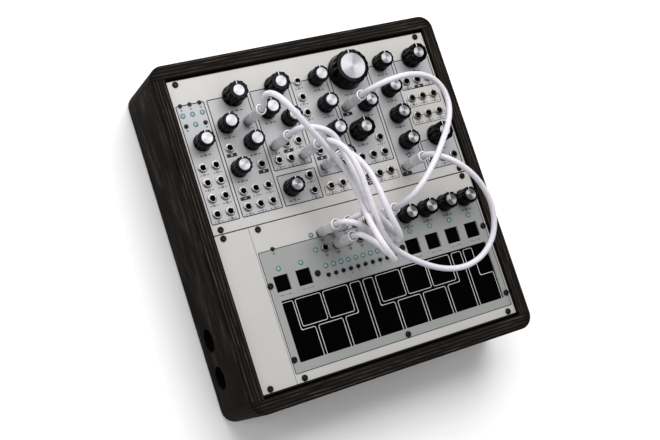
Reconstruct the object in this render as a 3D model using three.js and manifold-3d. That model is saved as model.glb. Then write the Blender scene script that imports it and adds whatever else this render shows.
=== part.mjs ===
// Tabletop modular synthesizer lying on its back, front panels up.
// Millimetres, +Z up. X runs along the panel rows, Y from the touch keyboard to
// the upper row of modules. The origin is the centre of the case's footprint, on
// the surface that it stands on.

import * as THREE from 'three';
import { mergeVertices } from 'three/addons/utils/BufferGeometryUtils.js';
import Module from 'manifold-3d';

const wasm = await Module();
wasm.setup();

// ---- driving dimensions ------------------------------------------------------
const HP = 5.08;               // width unit of the module rows
const ROW_W = 48 * HP;         // 243.84, both rows
const BLANK_W = 6 * HP;        // 30.48, blank panel in the lower row
const PANEL_H = 128.5;         // panel height, one row
const ROW_PITCH = 129.3;       // lower edge of the upper row above that of the lower row
const PANEL_T = 2.0;           // aluminium sheet
const PANEL_TOP = 71.0;        // front surface of the panels above the table
const PANEL_X0 = -121.9;       // lower-left corner of the two rows
const PANEL_Y0 = -128.65;

const CASE_W = 268.6;          // outside, along X
const CASE_L = 287.3;          // outside, along Y
const CASE_H = 74.0;           // rim of the case above the table
const WALL = 12.0;             // plywood walls
const CORNER_R = 12.0;         // outer corners
const EDGE_R = 3.0;            // rounded-over outer edges
const BASE_T = 4.0;            // plywood base, flush with the walls' lower edges
const SIDE_HOLE_R = 9.8;       // two holes in the left wall
const SIDE_HOLE_Z = 24.5;
const INLET_Y = -106.05;
const SWITCH_Y = -74.65;

const GAP = 0.3;               // clearance between neighbouring pieces
const RAIL_Z0 = 59.0;          // mounting rails under the panels' ends
const RAIL_Z1 = PANEL_TOP - PANEL_T - GAP;
const BOARD_Z0 = 57.0;         // circuit boards that carry controls and jacks
const BOARD_Z1 = 58.6;
const TOUCH_Z0 = 67.1;         // touch board right under the keyboard panel
const TOUCH_Z1 = PANEL_TOP - PANEL_T - GAP;

const JACK_BORE_R = 2.4;       // 3.5 mm sockets, across the corners of a six-sided bore
const JACK_NECK_R = 3.1;
const JACK_NUT_R = 4.5;
const JACK_NUT_TOP = PANEL_TOP + 2.2;
const PLUG_TOP = PANEL_TOP + 33.0;
const CABLE_R = 2.4;

const SMALL_KNOB = { r0: 7.5, r1: 7.1, h: 14.5 };
const WIDE_KNOB = { r0: 9.3, r1: 8.5, h: 16.3 };
const LARGE_KNOB = { r0: 16.0, r1: 15.0, h: 17.3 };
const KNOB_LIFT = 1.2;         // air under a knob
const SHAFT_R = 3.0;           // 6 mm shafts

// Control positions from the lower-left corner of the two rows.
const SMALL_UPPER = [[14.4, 204], [38.8, 213.8], [55.9, 195.6], [38.1, 176.7], [77.7, 218.3],
  [94.5, 208], [77.0, 151.3], [129.4, 236.5], [130.4, 212.7], [130.4, 189.2], [130.5, 166.6],
  [193.2, 238], [166.8, 206], [193.4, 213.8], [193.3, 190.2], [193.6, 166.1]];
const SMALL_LOWER = [[169.5, 105.7], [189.5, 106.3], [209.5, 106.8], [229.5, 106.8]];
const WIDE_UPPER = [[52.1, 236.2], [90.4, 236.5], [224.6, 237], [153, 184.4], [224.3, 165.5]];
const LARGE_UPPER = [158.1, 236.6];
const JACKS_UPPER = [[8.5, 184], [20, 184], [8.5, 171.3], [20, 171.3], [8.5, 158.4], [20, 158.4],
  [8.5, 145.2], [20, 145.2], [35.7, 194.8], [58.1, 176.1], [35.7, 158.3], [46.9, 158.3],
  [58.1, 158.3], [35.7, 145.2], [46.8, 145.2], [58, 145.2], [57.8, 213], [73.6, 187.8],
  [85, 188], [96.2, 188.4], [74, 175.9], [85, 175.6], [96.2, 175.6], [96.1, 158.4],
  [96.1, 145.2], [112.1, 237], [112.1, 223], [112.1, 209.4], [112, 175.6], [112, 162.5],
  [112, 145.2], [123, 145.2], [170.2, 175.4], [148, 162.3], [159.3, 162.3], [170.5, 162.3],
  [148, 145.4], [159.2, 145.5], [170.2, 145.6], [148, 206.8], [185, 145.5], [213, 145.8],
  [224, 145.8], [235, 145.8], [212.8, 217.3], [223.8, 217.3], [235, 217.3], [212.9, 201.9],
  [223.8, 201.9], [235, 201.9], [212.9, 185.9], [223.8, 185.9], [235, 185.9]];
const JACKS_LOWER = [89.5, 100.5, 111.5, 122.5, 133.5, 144.5]
  .flatMap((x) => [[x, 97.3], [x, 110]]);
const FIXED_BUTTONS_UPPER = [[6, 236.7], [14.2, 236.7], [22.8, 236.7], [6, 219.7], [22.8, 219.7]];
const FIXED_BUTTON_LOWER = [[45, 107.3]];
const STEP_BUTTONS = Array.from({ length: 10 }, (_, i) => [85.3 + 7 * i, 75.5]);
const LEDS_UPPER = [[5.8, 228.3], [14.2, 228.4], [22.8, 228.4], [14.2, 219.7], [192.5, 154.5]];
const LEDS_BOARD = [[81, 110], [81, 97.5], [44.8, 91], [65, 91], [169.4, 91.5], [189.4, 91.5],
  [209.5, 91.5], [229.5, 91.5]];
const LEDS_TOUCH = Array.from({ length: 10 }, (_, i) => [85.5 + 7 * i, 83]);
const SCREWS_TOP = [[7.5, 254.8], [236.1, 254.8]];
const SCREWS_MID_UPPER = [[7.5, 132.7], [236.1, 132.7]];
const SCREWS_MID_BLANK = [[7.5, 125.5]];
const SCREWS_MID_KEYS = [[37.98, 125.5], [236.1, 125.5]];
const SCREWS_LOW_BLANK = [[7.5, 3]];
const SCREWS_LOW_KEYS = [[37.98, 3], [236.1, 3]];
const SCREWS_TOUCH = [[33.5, 79.3], [76.3, 79], [157.7, 80], [240, 79], [34, 18.7], [137.5, 10.5],
  [240.3, 18.5]];
const PADS = [[38, 72.7], [58, 72.7], [161.8, 72], [181.7, 72], [201.8, 72], [222, 72]];
const PAD = 13.0;
const KEY_FIELD = [38.6, 15.2, 237.4, 65.6];

// Patch cables, from plug to plug: points on the centre line.
const CABLES = [
  [[-64.1, 84.3, 104.3], [-64.1, 84.3, 106.3], [-65.1, 85.7, 113.4], [-66.8, 88.3, 119.9],
    [-66.9, 89.5, 127.1], [-65.3, 87.3, 133.7], [-62.8, 82.4, 138.3], [-59.7, 76.2, 140.4],
    [-56.1, 69.9, 140.3], [-52.1, 64, 138.8], [-47.9, 58.6, 136.3], [-43.5, 53.6, 133.3],
    [-39, 49, 130], [-34.5, 44.3, 126.6], [-30, 39.6, 123.3], [-25.5, 34.9, 120.2],
    [-21.1, 29.7, 117.4], [-17.5, 23.8, 115.2], [-14.6, 17.3, 114], [-12.8, 10.2, 113.8],
    [-12.1, 3.1, 114.9], [-12.5, -3.8, 117.1], [-13.8, -10.2, 120.3], [-15.6, -16.1, 124.2],
    [-17.5, -21.6, 128.7], [-19.3, -26.8, 133.4], [-20.9, -32.1, 138.1], [-22, -37.9, 142.3],
    [-21.8, -44.6, 145.2], [-19.9, -51.5, 145.8], [-16.3, -57.2, 143.4], [-12.2, -60, 138.2],
    [-8.9, -59.1, 131.9], [-8, -54.8, 126.2], [-9.7, -48.8, 122.6], [-13.3, -42.8, 120.7],
    [-17.2, -37.1, 118.2], [-20.2, -32.9, 113.3], [-21.4, -31.4, 106.3], [-21.4, -31.4, 104.3]],
  [[-48.3, 59.2, 104.3], [-48.3, 59.2, 106.3], [-47.8, 59.2, 113.1], [-45.8, 59.1, 119.6],
    [-41.8, 57.9, 125], [-36.3, 55.4, 128.1], [-30.3, 52.3, 128.7], [-24.6, 48.7, 127.3],
    [-20.4, 43.9, 125.2], [-18, 37.7, 123.4], [-16.3, 31.2, 122.2], [-14.8, 24.5, 122],
    [-13.5, 17.8, 122.4], [-12.7, 11.1, 123.5], [-12.4, 4.4, 124.8], [-12.1, -2.3, 126],
    [-11.4, -9.1, 127], [-9.7, -15.7, 127.4], [-7.2, -22, 127.1], [-3.7, -27.9, 126.1],
    [0.5, -32.9, 124.2], [5.1, -36.7, 120.9], [9.5, -39, 116.2], [12.7, -39.2, 110.2],
    [14.1, -36.5, 104.2], [13.2, -31.3, 99.9], [10.4, -25.3, 99], [6.6, -20.3, 101.6],
    [2.6, -17.3, 106.2], [-1.7, -16.1, 111.4], [-7.1, -16, 115.4], [-13.8, -16.8, 116.3],
    [-19.3, -18.1, 112.7], [-21.4, -18.7, 106.3], [-21.4, -18.7, 104.3]],
  [[-25.7, 46.9, 104.3], [-25.7, 46.9, 106.3], [-26.4, 46.4, 115.9], [-26.5, 43.6, 125],
    [-23.3, 38, 132], [-19.9, 29.9, 135.8], [-17.8, 20.7, 137.4], [-16.4, 11.2, 137.6],
    [-15.4, 1.6, 136.8], [-14.3, -7.8, 135.4], [-13, -17.1, 133.3], [-11.1, -26.1, 130.4],
    [-8.1, -34.3, 126.4], [-4, -41.7, 121.9], [1.3, -48.2, 117.2], [8, -53.6, 112.8],
    [15.4, -58.3, 108.8], [23.1, -62.7, 105.3], [31.1, -67.1, 102.3], [39.5, -71.2, 99.8],
    [48.2, -74.8, 97.9], [57.3, -77.6, 96.6], [66.8, -79.1, 95.7], [76.4, -79, 95.4],
    [85.8, -77, 95.7], [94.4, -72.9, 96.6], [101.5, -66.7, 98.2], [106.6, -58.8, 100.3],
    [109.1, -49.9, 103], [109.2, -40.8, 106], [107.2, -32.1, 109.3], [103.4, -23.9, 112.7],
    [98.4, -16.3, 116], [92.5, -9.4, 119], [85.8, -2.9, 121.2], [78.6, 3.4, 122.1],
    [71.3, 9.4, 120.5], [65.4, 14.6, 115.2], [63.1, 16.8, 106.3], [63.1, 16.8, 104.3]],
  [[-9.9, 33.8, 104.3], [-9.9, 33.8, 106.3], [-9.7, 32.8, 113.1], [-9.1, 30, 119.3],
    [-8.3, 25.7, 124.6], [-7.6, 20.3, 128.9], [-6.8, 14.3, 132.2], [-6.2, 8, 134.8],
    [-5.8, 1.3, 136.7], [-5.4, -5.4, 138], [-5.1, -12.2, 138.8], [-4.5, -19.1, 139],
    [-3.3, -25.9, 138.4], [-1.4, -32.2, 136.7], [1.4, -37.8, 133.7], [4.4, -42, 129.2],
    [6.8, -44.6, 123.3], [7.5, -45.1, 116.5], [5.3, -43.4, 110.3], [0.6, -39.9, 106.8],
    [-4.8, -35.7, 107], [-9.8, -32, 109.9], [-14.5, -28.7, 113.8], [-19.7, -25.4, 116.7],
    [-25.6, -22, 116.8], [-30.5, -19.5, 112.8], [-32.4, -18.7, 106.3], [-32.4, -18.7, 104.3]],
  [[26.1, 78.2, 104.3], [26.1, 78.2, 106.3], [27.3, 78.3, 113], [30.8, 78.9, 118.8],
    [36.1, 79.6, 123], [42.4, 80.4, 125.4], [49.2, 81, 126.1], [56, 81.5, 125.4],
    [62.6, 81.7, 123.8], [69, 81.6, 121.5], [75.3, 81.2, 118.9], [81.5, 80.2, 116.1],
    [87.5, 78.5, 113.3], [93, 75.6, 110.7], [97.8, 71.2, 108.4], [101, 65.4, 106.8],
    [102.1, 58.8, 106], [101.1, 52, 106.2], [98.4, 45.9, 107.2], [94.6, 40.5, 108.9],
    [90.2, 35.7, 111.2], [85.6, 31.4, 113.8], [80.8, 27.4, 116.6], [76, 23.5, 119.5],
    [71.2, 19.5, 122.2], [66.3, 15.5, 124.7], [61.3, 11.3, 126.7], [56.2, 6.9, 128.2],
    [51.1, 2.5, 129.1], [45.9, -2, 129.3], [40.8, -6.4, 128.6], [35.6, -10.5, 126.8],
    [30.8, -14.1, 123.6], [26.5, -16.7, 119], [23.6, -18.2, 113], [22.6, -18.7, 106.3],
    [22.6, -18.7, 104.3]],
];

// ---- helpers -----------------------------------------------------------------
const toX = (x) => x + PANEL_X0;
const toY = (y) => y + PANEL_Y0;
const at = ([x, y]) => [toX(x), toY(y)];

const finish = {
  plywood: { color: 0x241f1b, roughness: 0.55, metalness: 0 },
  panel: { color: 0xd2d0cb, roughness: 0.42, metalness: 0.8 },
  rail: { color: 0xb4b6b8, roughness: 0.4, metalness: 0.9 },
  board: { color: 0x141516, roughness: 0.5, metalness: 0 },
  knob: { color: 0x0c0c0d, roughness: 0.3, metalness: 0 },
  button: { color: 0x101011, roughness: 0.5, metalness: 0 },
  plug: { color: 0xd8d8da, roughness: 0.35, metalness: 0 },
  cable: { color: 0xe2e0e6, roughness: 0.5, metalness: 0 },
};

function bare(geometry) {
  const g = geometry.index ? geometry.toNonIndexed() : geometry.clone();
  g.deleteAttribute('normal');
  g.deleteAttribute('uv');
  return mergeVertices(g, 1e-4);
}

function solid(geometry) {
  const g = bare(geometry);
  return new wasm.Manifold(new wasm.Mesh({
    numProp: 3,
    vertProperties: new Float32Array(g.attributes.position.array),
    triVerts: new Uint32Array(g.index.array),
  }));
}

function geometryOf(manifold) {
  const m = manifold.getMesh();
  const g = new THREE.BufferGeometry();
  g.setAttribute('position', new THREE.BufferAttribute(new Float32Array(m.vertProperties), 3));
  g.setIndex(new THREE.BufferAttribute(new Uint32Array(m.triVerts), 1));
  return g;
}

function boxGeometry(x0, y0, z0, x1, y1, z1) {
  const g = new THREE.BoxGeometry(x1 - x0, y1 - y0, z1 - z0);
  g.translate((x0 + x1) / 2, (y0 + y1) / 2, (z0 + z1) / 2);
  return g;
}

function regular(cx, cy, r, n, path) {
  for (let i = 0; i < n; i += 1) {
    const a = (2 * Math.PI * i) / n;
    const x = cx + r * Math.cos(a);
    const y = cy + r * Math.sin(a);
    if (i === 0) path.moveTo(x, y); else path.lineTo(x, y);
  }
  path.closePath();
  return path;
}

// Turned solid about +Z from [radius, height] pairs that start and end on the axis.
function turned(profile, n, x = 0, y = 0) {
  const g = new THREE.LatheGeometry(profile.map(([r, z]) => new THREE.Vector2(r, z)), n);
  g.rotateX(Math.PI / 2);
  // the first corner lies on +X, as in regular()
  g.rotateZ(-Math.PI / 2);
  g.translate(x, y, 0);
  return g;
}

function roundedRect(w, h, r) {
  const s = new THREE.Shape();
  s.moveTo(-w / 2 + r, -h / 2);
  s.lineTo(w / 2 - r, -h / 2);
  s.absarc(w / 2 - r, -h / 2 + r, r, -Math.PI / 2, 0);
  s.lineTo(w / 2, h / 2 - r);
  s.absarc(w / 2 - r, h / 2 - r, r, 0, Math.PI / 2);
  s.lineTo(-w / 2 + r, h / 2);
  s.absarc(-w / 2 + r, h / 2 - r, r, Math.PI / 2, Math.PI);
  s.lineTo(-w / 2, -h / 2 + r);
  s.absarc(-w / 2 + r, -h / 2 + r, r, Math.PI, Math.PI * 1.5);
  return s;
}

const model = new THREE.Group();
function add(parent, name, geometry, look, position = [0, 0, 0]) {
  const mesh = new THREE.Mesh(geometry, new THREE.MeshStandardMaterial(finish[look]));
  mesh.name = name;
  mesh.position.set(...position);
  parent.add(mesh);
  return mesh;
}

// ---- case --------------------------------------------------------------------
const body = new THREE.Group();
model.add(body);

{
  const outline = roundedRect(CASE_W - 2 * EDGE_R, CASE_L - 2 * EDGE_R, CORNER_R - EDGE_R);
  const outer = new THREE.ExtrudeGeometry(outline, {
    depth: CASE_H - 2 * EDGE_R, curveSegments: 4,
    bevelEnabled: true, bevelThickness: EDGE_R, bevelSize: EDGE_R, bevelSegments: 2,
  });
  outer.translate(0, 0, EDGE_R);
  const inW = CASE_W - 2 * WALL;
  const inL = CASE_L - 2 * WALL;
  let walls = solid(outer).subtract(solid(boxGeometry(-inW / 2, -inL / 2, -1, inW / 2, inL / 2, CASE_H + 1)));
  for (const y of [INLET_Y, SWITCH_Y]) {
    const hole = new THREE.CylinderGeometry(SIDE_HOLE_R, SIDE_HOLE_R, WALL + 6, 14);
    hole.rotateZ(Math.PI / 2);
    hole.translate(-CASE_W / 2 + WALL / 2, y, SIDE_HOLE_Z);
    walls = walls.subtract(solid(hole));
  }
  add(body, 'case_walls', geometryOf(walls), 'plywood');
  add(body, 'base_panel', boxGeometry(-inW / 2 + GAP, -inL / 2 + GAP, 0, inW / 2 - GAP, inL / 2 - GAP, BASE_T), 'plywood');
}

// ---- rails, their end brackets, panel screws, inlet socket and switch housing --
{
  const x = CASE_W / 2 - WALL - GAP;
  const low = toY(3);
  const mid = toY(129.1);
  const top = toY(254.8);
  let frame = solid(boxGeometry(-x, top - 4.5, RAIL_Z0, x, top + 4.5, RAIL_Z1));
  frame = frame.add(solid(boxGeometry(-x, mid - 8, RAIL_Z0, x, mid + 8, RAIL_Z1)));
  frame = frame.add(solid(boxGeometry(-x, low - 4.5, RAIL_Z0, x, low + 4.5, RAIL_Z1)));
  frame = frame.add(solid(boxGeometry(-x, low - 4.5, 52, -x + 3, top + 4.5, RAIL_Z0 + 2)));
  frame = frame.add(solid(boxGeometry(x - 3, low - 4.5, 52, x, top + 4.5, RAIL_Z0 + 2)));
  for (const p of [...SCREWS_TOP, ...SCREWS_MID_UPPER, ...SCREWS_MID_BLANK, ...SCREWS_MID_KEYS,
    ...SCREWS_LOW_BLANK, ...SCREWS_LOW_KEYS]) {
    const z = PANEL_TOP + GAP;
    frame = frame.add(solid(turned([[0, RAIL_Z1 - 1], [1.5, RAIL_Z1 - 1], [1.5, z], [2.7, z],
      [2.7, z + 1.6], [0, z + 1.6]], 6, ...at(p))));
  }
  // bracket that hangs from the left end and carries the inlet and the switch housing
  frame = frame.add(solid(boxGeometry(-x, INLET_Y - 8, 52, -101, SWITCH_Y + 9, 55)));
  frame = frame.add(solid(boxGeometry(-104, INLET_Y - 8, 14, -101, SWITCH_Y + 9, 53)));
  let inlet = solid(boxGeometry(-118.5, INLET_Y - 5.5, SIDE_HOLE_Z - 6, -103, INLET_Y + 5.5, SIDE_HOLE_Z + 6));
  const bore = new THREE.CylinderGeometry(3.2, 3.2, 12, 8);
  bore.rotateZ(Math.PI / 2);
  bore.translate(-113.5, INLET_Y, SIDE_HOLE_Z);
  inlet = inlet.subtract(solid(bore));
  frame = frame.add(inlet);
  // its centre pin
  const pin = new THREE.CylinderGeometry(1.05, 1.05, 10, 6);
  pin.rotateZ(Math.PI / 2);
  pin.translate(-112, INLET_Y, SIDE_HOLE_Z);
  frame = frame.add(solid(pin));
  let housing = solid(boxGeometry(-114.5, SWITCH_Y - 8, SIDE_HOLE_Z - 8, -103, SWITCH_Y + 8, SIDE_HOLE_Z + 8));
  const well = new THREE.CylinderGeometry(6.3, 6.3, 12, 12);
  well.rotateZ(Math.PI / 2);
  well.translate(-112.5, SWITCH_Y, SIDE_HOLE_Z);
  housing = housing.subtract(solid(well));
  frame = frame.add(housing);
  add(body, 'rail_frame', geometryOf(frame), 'rail');

  const push = new THREE.CylinderGeometry(5.5, 5.5, 13, 12);
  push.rotateZ(Math.PI / 2);
  add(body, 'power_switch', bare(push), 'button', [-117.5, SWITCH_Y, SIDE_HOLE_Z]);
}

// ---- panels ------------------------------------------------------------------
function panel(x0, y0, x1, y1, holes) {
  let sheet = solid(boxGeometry(x0, y0, PANEL_TOP - PANEL_T, x1, y1, PANEL_TOP));
  for (const h of holes) {
    const cut = new THREE.ExtrudeGeometry(h, { depth: PANEL_T + 2, bevelEnabled: false });
    cut.translate(0, 0, PANEL_TOP - PANEL_T - 1);
    sheet = sheet.subtract(solid(cut));
  }
  return geometryOf(sheet);
}
const holesAt = (list, r, n) => list.map((p) => regular(...at(p), r, n, new THREE.Shape()));
function window4(x0, y0, x1, y1) {
  const p = new THREE.Shape();
  p.moveTo(toX(x0), toY(y0)); p.lineTo(toX(x1), toY(y0));
  p.lineTo(toX(x1), toY(y1)); p.lineTo(toX(x0), toY(y1));
  p.closePath();
  return p;
}
const SHAFT_HOLE = 4.1;
const NECK_HOLE = 3.5;
const SCREW_HOLE = 1.95;
const BUTTON_HOLE = 1.95;
const LED_HOLE = 1.9;

add(body, 'synth_panel', panel(toX(0.1), toY(ROW_PITCH + 0.2), toX(ROW_W - 0.1), toY(ROW_PITCH + PANEL_H), [
  ...holesAt([...SMALL_UPPER, ...WIDE_UPPER, LARGE_UPPER], SHAFT_HOLE, 6),
  ...holesAt(JACKS_UPPER, NECK_HOLE, 6),
  ...holesAt([...SCREWS_TOP, ...SCREWS_MID_UPPER], SCREW_HOLE, 6),
  ...holesAt(FIXED_BUTTONS_UPPER, BUTTON_HOLE, 6),
  ...holesAt(LEDS_UPPER, LED_HOLE, 4),
]), 'panel');
add(body, 'blank_panel', panel(toX(0.1), toY(0), toX(BLANK_W - 0.15), toY(PANEL_H),
  holesAt([...SCREWS_MID_BLANK, ...SCREWS_LOW_BLANK], SCREW_HOLE, 6)), 'panel');
add(body, 'keyboard_panel', panel(toX(BLANK_W + 0.15), toY(0), toX(ROW_W - 0.1), toY(PANEL_H), [
  ...holesAt(SMALL_LOWER, SHAFT_HOLE, 6),
  ...holesAt(JACKS_LOWER, NECK_HOLE, 6),
  ...holesAt([...SCREWS_MID_KEYS, ...SCREWS_LOW_KEYS, ...SCREWS_TOUCH], SCREW_HOLE, 6),
  ...holesAt([...FIXED_BUTTON_LOWER, ...STEP_BUTTONS], BUTTON_HOLE, 6),
  ...holesAt([...LEDS_BOARD, ...LEDS_TOUCH], LED_HOLE, 4),
  ...PADS.map(([x, y]) => window4(x, y, x + PAD, y + PAD)),
  window4(...KEY_FIELD),
]), 'panel');

// ---- circuit boards with jacks, potentiometer bodies, lights and fixed buttons --
const jack = (p) => solid(turned([[0, JACK_NUT_TOP - 14], [JACK_BORE_R, JACK_NUT_TOP - 14],
  [JACK_BORE_R, JACK_NUT_TOP], [JACK_NUT_R, JACK_NUT_TOP], [JACK_NUT_R, PANEL_TOP + GAP],
  [JACK_NECK_R, PANEL_TOP + GAP], [JACK_NECK_R, BOARD_Z1 - 0.4], [0, BOARD_Z1 - 0.4]].reverse(),
6, ...at(p)));
function post(p, r, n, z0, z1) {
  const s = regular(...at(p), r, n, new THREE.Shape());
  const g = new THREE.ExtrudeGeometry(s, { depth: z1 - z0, bevelEnabled: false });
  g.translate(0, 0, z0);
  return solid(g);
}
function pot(p) {
  const [x, y] = at(p);
  return solid(boxGeometry(x - 4.9, y - 4.9, BOARD_Z1 - 0.4, x + 4.9, y + 4.9, 64));
}
const gather = (list) => list.reduce((a, b) => a.add(b));

{
  const parts = [solid(boxGeometry(toX(4), toY(139.6), BOARD_Z0, toX(239.8), toY(249.6), BOARD_Z1)),
    ...JACKS_UPPER.map(jack), ...[...SMALL_UPPER, ...WIDE_UPPER, LARGE_UPPER].map(pot),
    ...FIXED_BUTTONS_UPPER.map((p) => post(p, 1.5, 6, BOARD_Z1 - 0.4, PANEL_TOP + 1.6)),
    ...LEDS_UPPER.map((p) => post(p, 1.45, 4, BOARD_Z1 - 0.4, PANEL_TOP + 0.2))];
  add(body, 'synth_board', geometryOf(gather(parts)), 'board');
}
{
  const parts = [solid(boxGeometry(toX(34.5), toY(10), BOARD_Z0, toX(239.8), toY(119), BOARD_Z1)),
    solid(boxGeometry(toX(31.4), toY(8.2), TOUCH_Z0, toX(242.4), toY(88), TOUCH_Z1)),
    ...[[50, 14], [225, 14], [50, 69], [225, 69]].map((p) => post(p, 3, 6, BOARD_Z1 - 0.4, TOUCH_Z0 + 0.4)),
    ...JACKS_LOWER.map(jack), ...SMALL_LOWER.map(pot),
    ...FIXED_BUTTON_LOWER.map((p) => post(p, 1.5, 6, BOARD_Z1 - 0.4, PANEL_TOP + 1.6)),
    ...LEDS_BOARD.map((p) => post(p, 1.45, 4, BOARD_Z1 - 0.4, PANEL_TOP + 0.2)),
    ...LEDS_TOUCH.map((p) => post(p, 1.45, 4, TOUCH_Z1 - 0.4, PANEL_TOP + 0.2)),
    ...SCREWS_TOUCH.map((p) => solid(turned([[0, TOUCH_Z1 - 0.6], [1.5, TOUCH_Z1 - 0.6],
      [1.5, PANEL_TOP + GAP], [2.7, PANEL_TOP + GAP], [2.7, PANEL_TOP + 1.9], [0, PANEL_TOP + 1.9]], 6, ...at(p))))];
  add(body, 'keyboard_board', geometryOf(gather(parts)), 'board');
}

// ---- step buttons --------------------------------------------------------------
const controls = new THREE.Group();
model.add(controls);
STEP_BUTTONS.forEach((p, i) => {
  const g = bare(turned([[0, 0], [1.5, 0], [1.5, 3.2], [0, 3.2]], 8));
  const [x, y] = at(p);
  add(controls, `step_button_${String(i + 1).padStart(2, '0')}`, g, 'button', [x, y, 69.4]);
});

// ---- knobs, each with its shaft --------------------------------------------------
function knob(k, n) {
  const z0 = PANEL_TOP + KNOB_LIFT;
  const z1 = PANEL_TOP + k.h;
  return bare(turned([[0, 64.4], [SHAFT_R, 64.4], [SHAFT_R, z0], [k.r0, z0], [k.r1, z1 - 0.3],
    [0, z1]], n));
}
const knobs = [
  ...SMALL_UPPER.map((p, i) => [`knob_${String(i + 1).padStart(2, '0')}`, SMALL_KNOB, p, 12]),
  ...WIDE_UPPER.map((p, i) => [`wide_knob_${i + 1}`, WIDE_KNOB, p, 12]),
  ['large_knob', LARGE_KNOB, LARGE_UPPER, 16],
  ...SMALL_LOWER.map((p, i) => [`keyboard_knob_${i + 1}`, SMALL_KNOB, p, 12]),
];
for (const [name, k, p, n] of knobs) add(controls, name, knob(k, n), 'knob', [...at(p), 0]);

// ---- patch cables and their plugs ------------------------------------------------
const patching = new THREE.Group();
model.add(patching);
const plugProfile = [[0, 59.7], [1.2, 59.7], [1.75, 61.2], [1.75, JACK_NUT_TOP + GAP],
  [4.4, JACK_NUT_TOP + GAP], [4.4, PLUG_TOP], [0, PLUG_TOP]];
CABLES.forEach((points, i) => {
  const route = points.map((p) => new THREE.Vector3(...p));
  const curve = new THREE.CatmullRomCurve3(route, false, 'centripetal');
  const section = regular(0, 0, CABLE_R, 8, new THREE.Shape());
  const steps = Math.round(curve.getLength() / 9);
  const tube = new THREE.ExtrudeGeometry(section, { steps, extrudePath: curve, bevelEnabled: false });
  add(patching, `patch_cable_${i + 1}`, bare(tube), 'cable');
  for (const [end, v] of [['a', route[0]], ['b', route[route.length - 1]]]) {
    add(patching, `plug_${i + 1}${end}`, bare(turned(plugProfile, 8)), 'plug', [v.x, v.y, 0]);
  }
});

export default model;
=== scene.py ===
"""Looks of a tabletop modular synthesizer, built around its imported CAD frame. Metres, +Z up."""
import math

import bmesh
import bpy
import numpy as np
from mathutils import Matrix, Vector


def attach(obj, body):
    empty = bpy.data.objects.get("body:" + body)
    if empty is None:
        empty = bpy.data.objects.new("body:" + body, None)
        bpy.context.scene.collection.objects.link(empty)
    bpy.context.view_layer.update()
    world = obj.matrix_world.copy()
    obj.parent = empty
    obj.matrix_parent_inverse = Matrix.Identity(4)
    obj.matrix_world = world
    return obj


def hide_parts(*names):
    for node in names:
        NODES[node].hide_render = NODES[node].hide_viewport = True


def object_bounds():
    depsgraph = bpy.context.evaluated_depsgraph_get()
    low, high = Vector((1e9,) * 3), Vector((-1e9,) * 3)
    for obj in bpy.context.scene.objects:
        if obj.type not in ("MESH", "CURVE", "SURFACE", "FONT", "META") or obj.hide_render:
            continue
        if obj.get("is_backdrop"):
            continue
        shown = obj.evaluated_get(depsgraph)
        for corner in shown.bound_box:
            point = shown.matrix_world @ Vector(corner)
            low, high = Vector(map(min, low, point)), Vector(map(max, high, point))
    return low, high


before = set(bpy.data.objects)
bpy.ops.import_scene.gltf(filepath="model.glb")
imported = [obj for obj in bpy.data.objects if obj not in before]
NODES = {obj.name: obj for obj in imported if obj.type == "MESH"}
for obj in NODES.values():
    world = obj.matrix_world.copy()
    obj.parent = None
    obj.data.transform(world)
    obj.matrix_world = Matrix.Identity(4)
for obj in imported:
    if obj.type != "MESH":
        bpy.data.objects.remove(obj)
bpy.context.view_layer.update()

# ---- camera --------------------------------------------------------------------
cam_data = bpy.data.cameras.new("view")
cam_data.lens = 63.81
cam_data.sensor_width = 36.0
cam_data.sensor_fit = "HORIZONTAL"
cam_data.shift_x = 0.07576
cam_data.clip_start = 0.01
cam = bpy.data.objects.new("view", cam_data)
bpy.context.scene.collection.objects.link(cam)
cam.matrix_world = Matrix((
    (0.88218567, 0.23100277, -0.41034882, -0.448165),
    (-0.30190117, 0.94620908, -0.11637894, -0.109443),
    (0.36139192, 0.22655262, 0.90447210, 0.920137),
    (0.0, 0.0, 0.0, 1.0),
))
bpy.context.scene.camera = cam

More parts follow.
